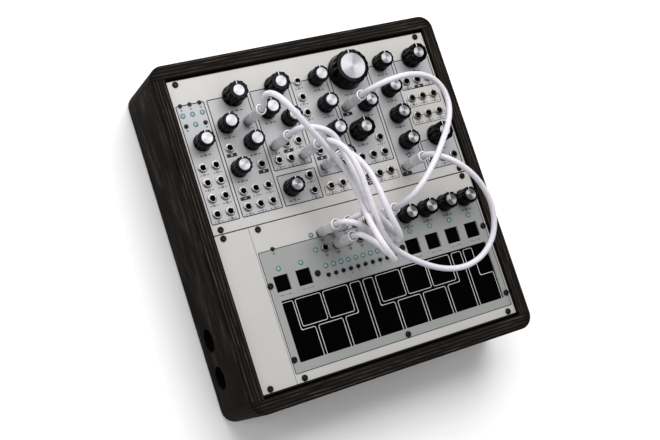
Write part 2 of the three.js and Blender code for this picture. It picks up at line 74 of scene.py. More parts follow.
# ---- patch cables: the routes that their solids follow ---------------------------
CABLES = (
    ((-0.0641, 0.0843, 0.1043), (-0.0641, 0.0843, 0.1063), (-0.0651, 0.0857, 0.1134), (-0.0668, 0.0883, 0.1199),
     (-0.0669, 0.0895, 0.1271), (-0.0653, 0.0873, 0.1337), (-0.0628, 0.0824, 0.1383), (-0.0597, 0.0762, 0.1404),
     (-0.0561, 0.0699, 0.1403), (-0.0521, 0.0640, 0.1388), (-0.0479, 0.0586, 0.1363), (-0.0435, 0.0536, 0.1333),
     (-0.0390, 0.0490, 0.1300), (-0.0345, 0.0443, 0.1266), (-0.0300, 0.0396, 0.1233), (-0.0255, 0.0349, 0.1202),
     (-0.0211, 0.0297, 0.1174), (-0.0175, 0.0238, 0.1152), (-0.0146, 0.0173, 0.1140), (-0.0128, 0.0102, 0.1138),
     (-0.0121, 0.0031, 0.1149), (-0.0125, -0.0038, 0.1171), (-0.0138, -0.0102, 0.1203), (-0.0156, -0.0161, 0.1242),
     (-0.0175, -0.0216, 0.1287), (-0.0193, -0.0268, 0.1334), (-0.0209, -0.0321, 0.1381), (-0.0220, -0.0379, 0.1423),
     (-0.0218, -0.0446, 0.1452), (-0.0199, -0.0515, 0.1458), (-0.0163, -0.0572, 0.1434), (-0.0122, -0.0600, 0.1382),
     (-0.0089, -0.0591, 0.1319), (-0.0080, -0.0548, 0.1262), (-0.0097, -0.0488, 0.1226), (-0.0133, -0.0428, 0.1207),
     (-0.0172, -0.0371, 0.1182), (-0.0202, -0.0329, 0.1133), (-0.0214, -0.0314, 0.1063), (-0.0214, -0.0314, 0.1043)),
    ((-0.0483, 0.0592, 0.1043), (-0.0483, 0.0592, 0.1063), (-0.0478, 0.0592, 0.1131), (-0.0458, 0.0591, 0.1196),
     (-0.0418, 0.0579, 0.1250), (-0.0363, 0.0554, 0.1281), (-0.0303, 0.0523, 0.1287), (-0.0246, 0.0487, 0.1273),
     (-0.0204, 0.0439, 0.1252), (-0.0180, 0.0377, 0.1234), (-0.0163, 0.0312, 0.1222), (-0.0148, 0.0245, 0.1220),
     (-0.0135, 0.0178, 0.1224), (-0.0127, 0.0111, 0.1235), (-0.0124, 0.0044, 0.1248), (-0.0121, -0.0023, 0.1260),
     (-0.0114, -0.0091, 0.1270), (-0.0097, -0.0157, 0.1274), (-0.0072, -0.0220, 0.1271), (-0.0037, -0.0279, 0.1261),
     (0.0005, -0.0329, 0.1242), (0.0051, -0.0367, 0.1209), (0.0095, -0.0390, 0.1162), (0.0127, -0.0392, 0.1102),
     (0.0141, -0.0365, 0.1042), (0.0132, -0.0313, 0.0999), (0.0104, -0.0253, 0.0990), (0.0066, -0.0203, 0.1016),
     (0.0026, -0.0173, 0.1062), (-0.0017, -0.0161, 0.1114), (-0.0071, -0.0160, 0.1154), (-0.0138, -0.0168, 0.1163),
     (-0.0193, -0.0181, 0.1127), (-0.0214, -0.0187, 0.1063), (-0.0214, -0.0187, 0.1043)),
    ((-0.0257, 0.0469, 0.1043), (-0.0257, 0.0469, 0.1063), (-0.0264, 0.0464, 0.1159), (-0.0265, 0.0436, 0.1250),
     (-0.0233, 0.0380, 0.1320), (-0.0199, 0.0299, 0.1358), (-0.0178, 0.0207, 0.1374), (-0.0164, 0.0112, 0.1376),
     (-0.0154, 0.0016, 0.1368), (-0.0143, -0.0078, 0.1354), (-0.0130, -0.0171, 0.1333), (-0.0111, -0.0261, 0.1304),
     (-0.0081, -0.0343, 0.1264), (-0.0040, -0.0417, 0.1219), (0.0013, -0.0482, 0.1172), (0.0080, -0.0536, 0.1128),
     (0.0154, -0.0583, 0.1088), (0.0231, -0.0627, 0.1053), (0.0311, -0.0671, 0.1023), (0.0395, -0.0712, 0.0998),
     (0.0482, -0.0748, 0.0979), (0.0573, -0.0776, 0.0966), (0.0668, -0.0791, 0.0957), (0.0764, -0.0790, 0.0954),
     (0.0858, -0.0770, 0.0957), (0.0944, -0.0729, 0.0966), (0.1015, -0.0667, 0.0982), (0.1066, -0.0588, 0.1003),
     (0.1091, -0.0499, 0.1030), (0.1092, -0.0408, 0.1060), (0.1072, -0.0321, 0.1093), (0.1034, -0.0239, 0.1127),
     (0.0984, -0.0163, 0.1160), (0.0925, -0.0094, 0.1190), (0.0858, -0.0029, 0.1212), (0.0786, 0.0034, 0.1221),
     (0.0713, 0.0094, 0.1205), (0.0654, 0.0146, 0.1152), (0.0631, 0.0168, 0.1063), (0.0631, 0.0168, 0.1043)),
    ((-0.0099, 0.0338, 0.1043), (-0.0099, 0.0338, 0.1063), (-0.0097, 0.0328, 0.1131), (-0.0091, 0.0300, 0.1193),
     (-0.0083, 0.0257, 0.1246), (-0.0076, 0.0203, 0.1289), (-0.0068, 0.0143, 0.1322), (-0.0062, 0.0080, 0.1348),
     (-0.0058, 0.0013, 0.1367), (-0.0054, -0.0054, 0.1380), (-0.0051, -0.0122, 0.1388), (-0.0045, -0.0191, 0.1390),
     (-0.0033, -0.0259, 0.1384), (-0.0014, -0.0322, 0.1367), (0.0014, -0.0378, 0.1337), (0.0044, -0.0420, 0.1292),
     (0.0068, -0.0446, 0.1233), (0.0075, -0.0451, 0.1165), (0.0053, -0.0434, 0.1103), (0.0006, -0.0399, 0.1068),
     (-0.0048, -0.0357, 0.1070), (-0.0098, -0.0320, 0.1099), (-0.0145, -0.0287, 0.1138), (-0.0197, -0.0254, 0.1167),
     (-0.0256, -0.0220, 0.1168), (-0.0305, -0.0195, 0.1128), (-0.0324, -0.0187, 0.1063), (-0.0324, -0.0187, 0.1043)),
    ((0.0261, 0.0782, 0.1043), (0.0261, 0.0782, 0.1063), (0.0273, 0.0783, 0.1130), (0.0308, 0.0789, 0.1188),
     (0.0361, 0.0796, 0.1230), (0.0424, 0.0804, 0.1254), (0.0492, 0.0810, 0.1261), (0.0560, 0.0815, 0.1254),
     (0.0626, 0.0817, 0.1238), (0.0690, 0.0816, 0.1215), (0.0753, 0.0812, 0.1189), (0.0815, 0.0802, 0.1161),
     (0.0875, 0.0785, 0.1133), (0.0930, 0.0756, 0.1107), (0.0978, 0.0712, 0.1084), (0.1010, 0.0654, 0.1068),
     (0.1021, 0.0588, 0.1060), (0.1011, 0.0520, 0.1062), (0.0984, 0.0459, 0.1072), (0.0946, 0.0405, 0.1089),
     (0.0902, 0.0357, 0.1112), (0.0856, 0.0314, 0.1138), (0.0808, 0.0274, 0.1166), (0.0760, 0.0235, 0.1195),
     (0.0712, 0.0195, 0.1222), (0.0663, 0.0155, 0.1247), (0.0613, 0.0113, 0.1267), (0.0562, 0.0069, 0.1282),
     (0.0511, 0.0025, 0.1291), (0.0459, -0.0020, 0.1293), (0.0408, -0.0064, 0.1286), (0.0356, -0.0105, 0.1268),
     (0.0308, -0.0141, 0.1236), (0.0265, -0.0167, 0.1190), (0.0236, -0.0182, 0.1130), (0.0226, -0.0187, 0.1063),
     (0.0226, -0.0187, 0.1043)),
)
CABLE_D = 0.0048


def along(points, per=5):
    """Centripetal Catmull-Rom through the points."""
    p = [Vector(q) for q in points]
    p = [2 * p[0] - p[1]] + p + [2 * p[-1] - p[-2]]
    out = []
    for i in range(1, len(p) - 2):
        a, b, c, d = p[i - 1:i + 3]
        t0 = 0.0
        t1 = t0 + (b - a).length ** 0.5
        t2 = t1 + (c - b).length ** 0.5
        t3 = t2 + (d - c).length ** 0.5
        for k in range(per):
            t = t1 + (t2 - t1) * k / per
            a1 = a * ((t1 - t) / (t1 - t0)) + b * ((t - t0) / (t1 - t0))
            a2 = b * ((t2 - t) / (t2 - t1)) + c * ((t - t1) / (t2 - t1))
            a3 = c * ((t3 - t) / (t3 - t2)) + d * ((t - t2) / (t3 - t2))
            b1 = a1 * ((t2 - t) / (t2 - t0)) + a2 * ((t - t0) / (t2 - t0))
            b2 = a2 * ((t3 - t) / (t3 - t1)) + a3 * ((t - t1) / (t3 - t1))
            out.append(b1 * ((t2 - t) / (t2 - t1)) + b2 * ((t - t1) / (t2 - t1)))
    out.append(p[-2])
    return out


# ---- layout, in mm from the lower-left corner of the two panel rows --------------
SMALL_UPPER = [(14.4, 204), (38.8, 213.8), (55.9, 195.6), (38.1, 176.7), (77.7, 218.3),
               (94.5, 208), (77.0, 151.3), (129.4, 236.5), (130.4, 212.7), (130.4, 189.2), (130.5, 166.6),
               (193.2, 238), (166.8, 206), (193.4, 213.8), (193.3, 190.2), (193.6, 166.1)]
SMALL_LOWER = [(169.5, 105.7), (189.5, 106.3), (209.5, 106.8), (229.5, 106.8)]
WIDE_UPPER = [(52.1, 236.2), (90.4, 236.5), (224.6, 237), (153, 184.4), (224.3, 165.5)]
LARGE_UPPER = (158.1, 236.6)
JACKS_UPPER = [(8.5, 184), (20, 184), (8.5, 171.3), (20, 171.3), (8.5, 158.4), (20, 158.4),
               (8.5, 145.2), (20, 145.2), (35.7, 194.8), (58.1, 176.1), (35.7, 158.3), (46.9, 158.3),
               (58.1, 158.3), (35.7, 145.2), (46.8, 145.2), (58, 145.2), (57.8, 213), (73.6, 187.8),
               (85, 188), (96.2, 188.4), (74, 175.9), (85, 175.6), (96.2, 175.6), (96.1, 158.4),
               (96.1, 145.2), (112.1, 237), (112.1, 223), (112.1, 209.4), (112, 175.6), (112, 162.5),
               (112, 145.2), (123, 145.2), (170.2, 175.4), (148, 162.3), (159.3, 162.3), (170.5, 162.3),
               (148, 145.4), (159.2, 145.5), (170.2, 145.6), (148, 206.8), (185, 145.5), (213, 145.8),
               (224, 145.8), (235, 145.8), (212.8, 217.3), (223.8, 217.3), (235, 217.3), (212.9, 201.9),
               (223.8, 201.9), (235, 201.9), (212.9, 185.9), (223.8, 185.9), (235, 185.9)]
JACKS_LOWER = [(x, y) for x in (89.5, 100.5, 111.5, 122.5, 133.5, 144.5) for y in (97.3, 110)]
BUTTONS_UPPER = [(6, 236.7), (14.2, 236.7), (22.8, 236.7), (6, 219.7), (22.8, 219.7)]
BUTTON_LOWER = [(45, 107.3)]
STEPS = [(85.3 + 7 * i, 75.5) for i in range(10)]
LEDS_UPPER = [(5.8, 228.3), (14.2, 228.4), (22.8, 228.4), (14.2, 219.7), (192.5, 154.5)]
LEDS_BOARD = [(81, 110), (81, 97.5), (44.8, 91), (65, 91), (169.4, 91.5), (189.4, 91.5), (209.5, 91.5), (229.5, 91.5)]
LEDS_TOUCH = [(85.5 + 7 * i, 83) for i in range(10)]
SCREWS_UPPER = [(7.5, 254.8), (236.1, 254.8), (7.5, 132.7), (236.1, 132.7)]
SCREWS_BLANK = [(7.5, 125.5), (7.5, 3)]
SCREWS_KEYS = [(37.98, 125.5), (236.1, 125.5), (37.98, 3), (236.1, 3)]
SCREWS_TOUCH = [(33.5, 79.3), (76.3, 79), (157.7, 80), (240, 79), (34, 18.7), (137.5, 10.5), (240.3, 18.5)]
PADS = [(38, 72.7), (58, 72.7), (161.8, 72), (181.7, 72), (201.8, 72), (222, 72)]
PAD = 13.0
KEY_FIELD = (38.6, 15.2, 237.4, 65.6)
TOP = 71.0            # front surface of the panels
SHEET = 2.0
BOARD_Z = 57.0, 58.6
TOUCH_Z = 67.1, 68.7
NUT_TOP = 73.2
INLET_Y, SWITCH_Y, HOLE_Z = -106.05, -74.65, 24.5


def X(x):
    return x - 121.9


def Y(y):
    return y - 128.65


# ---- node helpers ----------------------------------------------------------------
class Mat:
    """A procedural material; coordinates are the row frame, in mm."""

    def __init__(self, name):
        self.m = bpy.data.materials.new(name)
        self.m.use_nodes = True
        self.t = self.m.node_tree
        self.b = self.t.nodes["Principled BSDF"]
        self._pos = None

    def node(self, kind, **inputs):
        n = self.t.nodes.new(kind)
        for k, v in inputs.items():
            if k.startswith("_"):
                setattr(n, k[1:], v)
        return n

    def link(self, a, b):
        self.t.links.new(a, b)

    def set(self, **values):
        for k, v in values.items():
            self.b.inputs[k.replace("_", " ")].default_value = v
        return self

    def pos(self):
        if self._pos is None:
            c = self.node("ShaderNodeTexCoord")
            s = self.node("ShaderNodeVectorMath", _operation="SCALE")
            s.inputs["Scale"].default_value = 1000.0
            self.link(c.outputs["Object"], s.inputs[0])
            self._pos = s.outputs[0]
        return self._pos

    def split(self):
        s = self.node("ShaderNodeSeparateXYZ")
        self.link(self.pos(), s.inputs[0])
        return s.outputs

    def join(self, x, y, z):
        c = self.node("ShaderNodeCombineXYZ")
        for i, v in enumerate((x, y, z)):
            if isinstance(v, (int, float)):
                c.inputs[i].default_value = v
            else:
                self.link(v, c.inputs[i])
        return c.outputs[0]

    def math(self, op, a, b=None, c=None, clamp=False):
        n = self.node("ShaderNodeMath", _operation=op, _use_clamp=clamp)
        for i, v in enumerate((a, b, c)):
            if v is None:
                continue
            if isinstance(v, (int, float)):
                n.inputs[i].default_value = v
            else:
                self.link(v, n.inputs[i])
        return n.outputs[0]

    def noise(self, vec, scale, detail=3.0, rough=0.55, distort=0.0):
        n = self.node("ShaderNodeTexNoise")
        n.inputs["Scale"].default_value = scale
        n.inputs["Detail"].default_value = detail
        n.inputs["Roughness"].default_value = rough
        n.inputs["Distortion"].default_value = distort
        self.link(vec, n.inputs["Vector"])
        return n.outputs["Fac"]

    def ramp(self, fac, *stops):
        n = self.node("ShaderNodeValToRGB")
        e = n.color_ramp.elements
        while len(e) < len(stops):
            e.new(0.5)
        for el, (p, c) in zip(e, stops):
            el.position = p
            el.color = (*c, 1.0) if len(c) == 3 else c
        self.link(fac, n.inputs["Fac"])
        return n.outputs["Color"]

    def range(self, v, a, b, c, d):
        n = self.node("ShaderNodeMapRange")
        for i, k in enumerate((a, b, c, d)):
            n.inputs[i + 1].default_value = k
        self.link(v, n.inputs[0])
        return n.outputs[0]

    def mix(self, fac, a, b):
        n = self.node("ShaderNodeMix", _data_type="RGBA")
        if isinstance(fac, (int, float)):
            n.inputs[0].default_value = fac
        else:
            self.link(fac, n.inputs[0])
        for i, v in ((6, a), (7, b)):
            if isinstance(v, tuple):
                n.inputs[i].default_value = (*v, 1.0)
            else:
                self.link(v, n.inputs[i])
        return n.outputs[2]

    def colour(self, out):
        self.link(out, self.b.inputs["Base Color"])
        return self

    def rough(self, out):
        self.link(out, self.b.inputs["Roughness"])
        return self

    def bump(self, height, strength, distance):
        n = self.node("ShaderNodeBump")
        n.inputs["Strength"].default_value = strength
        n.inputs["Distance"].default_value = distance
        self.link(height, n.inputs["Height"])
        self.link(n.outputs[0], self.b.inputs["Normal"])
        return self


def speckled(name, dark, light, rough, scale, metallic=0.0, bump=0.0, spread=0.06, **sockets):
    """A finish with a fine mottle in colour, roughness and relief."""
    m = Mat(name)
    f = m.noise(m.pos(), scale, 4.0, 0.6)
    m.colour(m.ramp(f, (0.3, dark), (0.7, light)))
    m.rough(m.range(f, 0.25, 0.75, max(0.02, rough - spread), rough + spread))
    m.set(Metallic=metallic, **sockets)
    if bump:
        m.bump(f, 0.35, bump)
    return m.m


# ---- materials -------------------------------------------------------------------
def plywood():
    m = Mat("plywood")
    x, y, z = m.split()
    ax, ay = m.math("ABSOLUTE", x), m.math("ABSOLUTE", y)
    ends = m.math("GREATER_THAN", ay, 131.65)             # rear and front walls run full width
    rest = m.math("SUBTRACT", 1.0, ends)
    dx, dy = m.math("SUBTRACT", 134.3, ax), m.math("SUBTRACT", 143.65, ay)
    d = m.math("ADD", m.math("MULTIPLY", dy, ends), m.math("MULTIPLY", dx, rest))
    run = m.math("ADD", m.math("MULTIPLY", x, ends), m.math("MULTIPLY", y, rest))
    # the layers wander a little along the board
    wav = m.noise(m.join(m.math("MULTIPLY", run, 0.011), m.math("MULTIPLY", ends, 7.0), 0.0), 1.0, 2.0)
    dd = m.math("ADD", d, m.math("MULTIPLY", m.math("SUBTRACT", wav, 0.5), 0.9))
    ply = m.math("DIVIDE", dd, 1.38)
    idx = m.math("FLOOR", ply)
    fr = m.math("FRACT", ply)
    odd = m.math("MODULO", m.math("ABSOLUTE", idx), 2.0)
    # long-grain layers: streaks along the run
    streak = m.noise(m.join(m.math("MULTIPLY", run, 0.045), m.math("MULTIPLY", d, 2.1), m.math("MULTIPLY", z, 1.2)),
                     1.0, 6.0, 0.68, 0.3)
    # cross layers: end grain
    pores = m.noise(m.join(m.math("MULTIPLY", run, 1.5), m.math("MULTIPLY", d, 2.4), m.math("MULTIPLY", z, 0.25)),
                    1.0, 3.0, 0.6)
    tone = m.noise(m.join(m.math("MULTIPLY", idx, 3.7), m.math("MULTIPLY", run, 0.012), m.math("MULTIPLY", ends, 11.0)),
                   1.0, 2.0, 0.5)
    long_c = m.ramp(streak, (0.32, (0.0050, 0.0043, 0.0038)), (0.46, (0.0150, 0.0124, 0.0104)),
                    (0.59, (0.044, 0.0365, 0.0305)), (0.72, (0.150, 0.126, 0.104)))
    cross_c = m.ramp(pores, (0.35, (0.0036, 0.0032, 0.0029)), (0.60, (0.0115, 0.0098, 0.0085)), (0.8, (0.026, 0.022, 0.0190)))
    edge_c = m.mix(odd, cross_c, long_c)
    lift = m.range(tone, 0.35, 0.7, 0.0, 1.0)
    edge_c = m.mix(m.math("MULTIPLY", m.math("SUBTRACT", 1.0, lift), 0.55), edge_c, (0.0042, 0.0037, 0.0034))
    glue = m.math("LESS_THAN", fr, 0.12)
    edge_c = m.mix(m.math("MULTIPLY", glue, 0.85), edge_c, (0.0014, 0.0012, 0.0012))
    # outer veneer: broad stained figure along the board, a little across its height
    fig = m.noise(m.join(m.math("MULTIPLY", run, 0.021), m.math("MULTIPLY", z, 0.15), m.math("MULTIPLY", ends, 5.0)),
                  1.0, 6.0, 0.64, 1.0)
    blotch = m.noise(m.join(m.math("MULTIPLY", run, 0.022), m.math("MULTIPLY", z, 0.035), m.math("MULTIPLY", ends, 3.0)),
                     1.0, 2.0, 0.5)
    fine = m.noise(m.join(m.math("MULTIPLY", run, 0.14), m.math("MULTIPLY", z, 2.4), 0.0), 1.0, 3.0, 0.6)
    face_c = m.ramp(fig, (0.36, (0.0030, 0.0025, 0.0022)), (0.50, (0.0115, 0.0094, 0.0077)), (0.65, (0.042, 0.0335, 0.0260)))
    face_c = m.mix(m.range(fine, 0.35, 0.75, 0.0, 0.5), face_c, (0.0030, 0.0025, 0.0022))
    face_c = m.mix(m.range(blotch, 0.42, 0.58, 0.0, 0.75), face_c, (0.0030, 0.0026, 0.0023))
    face = m.math("LESS_THAN", d, 0.75)
    # sawn ends of the front and rear boards took up more stain
    sawn = m.math("MULTIPLY", ends, m.range(ax, 123.5, 128.5, 0.0, 0.6))
    edge_c = m.mix(sawn, edge_c, (0.0050, 0.0042, 0.0036))
    both = m.mix(face, edge_c, face_c)
    # butt joints between the walls
    seam_y = m.math("LESS_THAN", m.math("ABSOLUTE", m.math("SUBTRACT", ay, 131.65)), 0.14)
    seam = m.math("MULTIPLY", seam_y, m.math("GREATER_THAN", ax, 122.3))
    both = m.mix(m.math("MULTIPLY", seam, 0.8), both, (0.002, 0.0018, 0.0016))
    # painted shade: the bores of the two holes in the left wall darkened to near black
    bore = None
    for yc in (INLET_Y, SWITCH_Y):
        u, v = m.math("SUBTRACT", y, yc), m.math("SUBTRACT", z, HOLE_Z)
        rr = m.math("ADD", m.math("MULTIPLY", u, u), m.math("MULTIPLY", v, v))
        hole_shade_mask = m.math("LESS_THAN", rr, 9.87 ** 2)
        bore = hole_shade_mask if bore is None else m.math("MAXIMUM", bore, hole_shade_mask)
    bore = m.math("MULTIPLY", bore, m.math("LESS_THAN", x, 0.0))
    # painted shade inside the two hole bores
    both = m.mix(m.math("MULTIPLY", bore, 0.8), both, (0.0012, 0.0011, 0.0010))
    m.colour(both)
    m.rough(m.range(streak, 0.3, 0.75, 0.50, 0.66))
    m.set(Specular_IOR_Level=0.012)
    h = m.math("ADD", m.math("MULTIPLY", streak, 0.6), m.math("MULTIPLY", fine, 0.5))
    h = m.math("SUBTRACT", h, m.math("MULTIPLY", m.math("ADD", seam, m.math("MULTIPLY", glue, 0.25)), 0.8))
    m.bump(h, 0.5, 0.00025)
    return m.m


def aluminium_panel(name, dark, light, metallic, rough):
    m = Mat(name)
    x, y, z = m.split()
    grit = m.noise(m.pos(), 9.0, 3.0, 0.6)
    broad = m.noise(m.pos(), 0.018, 2.0, 0.5)
    f = m.math("ADD", m.math("MULTIPLY", grit, 0.55), m.math("MULTIPLY", broad, 0.45))
    m.colour(m.ramp(f, (0.36, dark), (0.64, light)))
    m.rough(m.range(grit, 0.3, 0.7, rough - 0.05, rough + 0.07))
    m.set(Metallic=metallic)
    m.bump(grit, 0.16, 0.00004)
    return m.m


def spun():
    """Aluminium turned on a lathe: fine rings round the middle."""
    m = Mat("spun_aluminium")
    x, y, z = m.split()
    r = m.math("SQRT", m.math("ADD", m.math("MULTIPLY", x, x), m.math("MULTIPLY", y, y)))
    ring = m.noise(m.join(m.math("MULTIPLY", r, 5.0), 0.0, 0.0), 1.0, 3.0, 0.7)
    m.colour(m.ramp(ring, (0.3, (0.18, 0.177, 0.19)), (0.7, (0.37, 0.365, 0.385))))
    m.rough(m.range(ring, 0.3, 0.7, 0.25, 0.37))
    m.set(Metallic=1.0, Anisotropic=0.93, Anisotropic_Rotation=0.25)
    t = m.node("ShaderNodeTangent", _direction_type="RADIAL", _axis="Z")
    m.link(t.outputs[0], m.b.inputs["Tangent"])
    return m.m


def frosted():
    m = Mat("frosted_plug")
    f = m.noise(m.pos(), 0.9, 3.0, 0.6)
    x, y, z = m.split()
    # painted shade: the lower body is darker than the top, blended between 78 and 96 mm height
    low = m.ramp(f, (0.3, (0.72, 0.715, 0.735)), (0.7, (0.87, 0.865, 0.885)))
    high = m.ramp(f, (0.3, (0.80, 0.795, 0.815)), (0.7, (0.93, 0.925, 0.945)))
    m.colour(m.mix(m.range(z, 78.0, 96.0, 0.0, 1.0), low, high))
    m.rough(m.range(f, 0.3, 0.7, 0.28, 0.42))
    m.set(Transmission_Weight=0.6, IOR=1.4, Specular_IOR_Level=0.5)
    m.bump(f, 0.2, 0.00008)
    return m.m


def cable_sheath():
    m = Mat("cable_sheath")
    f = m.noise(m.pos(), 0.35, 4.0, 0.6)
    g = m.noise(m.pos(), 6.0, 2.0, 0.5)
    m.colour(m.ramp(f, (0.3, (0.57, 0.55, 0.605)), (0.7, (0.65, 0.63, 0.685))))
    m.rough(m.range(g, 0.3, 0.7, 0.36, 0.5))
    m.set(Specular_IOR_Level=0.45)
    m.b.inputs["Subsurface Weight"].default_value = 0.12
    m.b.inputs["Subsurface Radius"].default_value = (0.002, 0.002, 0.0022)
    m.b.inputs["Subsurface Scale"].default_value = 1.0
    m.bump(g, 0.12, 0.00003)
    return m.m


M = {
    "plywood": plywood(),
    "panel": aluminium_panel("panel_silver", (0.375, 0.366, 0.353), (0.425, 0.415, 0.402), 0.1, 0.46),
    "zone": aluminium_panel("panel_grey_ink", (0.305, 0.305, 0.318), (0.357, 0.357, 0.371), 0.1, 0.44),
    "zone_keys": aluminium_panel("panel_blue_grey_ink", (0.218, 0.224, 0.222), (0.252, 0.259, 0.257), 0.1, 0.44),
    "ink": speckled("dark_ink", (0.006, 0.006, 0.007), (0.014, 0.014, 0.015), 0.5, 1.2, Specular_IOR_Level=0.2),
    "pale_ink": speckled("pale_ink", (0.74, 0.73, 0.71), (0.82, 0.81, 0.79), 0.45, 1.2),
    "teal": speckled("teal_ink", (0.006, 0.092, 0.105), (0.014, 0.150, 0.165), 0.42, 1.5),
    "lens": speckled("led_lens", (0.30, 0.36, 0.37), (0.44, 0.50, 0.50), 0.2, 1.0, Transmission_Weight=0.3),
    "nickel": speckled("nickel", (0.240, 0.219, 0.212), (0.395, 0.374, 0.364), 0.22, 0.8, 1.0),
    "bore": speckled("jack_bore", (0.006, 0.006, 0.006), (0.016, 0.014, 0.012), 0.45, 1.0, 0.3),
    "brass": speckled("jack_throat", (0.26, 0.19, 0.11), (0.36, 0.27, 0.16), 0.35, 1.0, 1.0),
    "screw": speckled("black_oxide", (0.0012, 0.0012, 0.0013), (0.0035, 0.0035, 0.0038), 0.28, 1.6, 0.0, Specular_IOR_Level=0.16),
    "button": speckled("button_black", (0.0015, 0.0015, 0.0016), (0.0040, 0.0040, 0.0042), 0.34, 1.8, 0.0, 0.00003, Specular_IOR_Level=0.14),
    "mask": speckled("touch_board_black", (0.0004, 0.0004, 0.0004), (0.0008, 0.0008, 0.0008), 0.22, 0.4, 0.0, 0.0,
                     0.04, Specular_IOR_Level=0.015),
    "legend": speckled("touch_board_white", (0.48, 0.48, 0.50), (0.58, 0.58, 0.60), 0.5, 1.5),
    "pcb": speckled("circuit_board", (0.006, 0.0075, 0.0075), (0.013, 0.015, 0.015), 0.42, 0.5,
                    Specular_IOR_Level=0.3),
    "pot": speckled("pot_housing", (0.05, 0.05, 0.052), (0.10, 0.10, 0.105), 0.4, 0.6, 0.4),
    "rail": speckled("rail_black_anodised", (0.014, 0.014, 0.015), (0.024, 0.024, 0.026), 0.42, 0.7, 0.7),
    "moulded": speckled("moulded_black", (0.007, 0.007, 0.0075), (0.014, 0.014, 0.0148), 0.42, 1.3, 0.0, 0.00003, Specular_IOR_Level=0.3),
    "knob": speckled("knob_black", (0.0005, 0.0005, 0.0006), (0.0012, 0.0012, 0.0013), 0.09, 0.9, 0.0, 0.0, 0.03,
                     Specular_IOR_Level=0.055),
    "pointer": speckled("pointer_white", (0.58, 0.58, 0.58), (0.68, 0.68, 0.68), 0.4, 1.5),
    "spun": spun(),
    "frosted": frosted(),
    "collar": speckled("plug_collar", (0.74, 0.735, 0.76), (0.84, 0.835, 0.86), 0.3, 0.8),
    "cable": cable_sheath(),
}


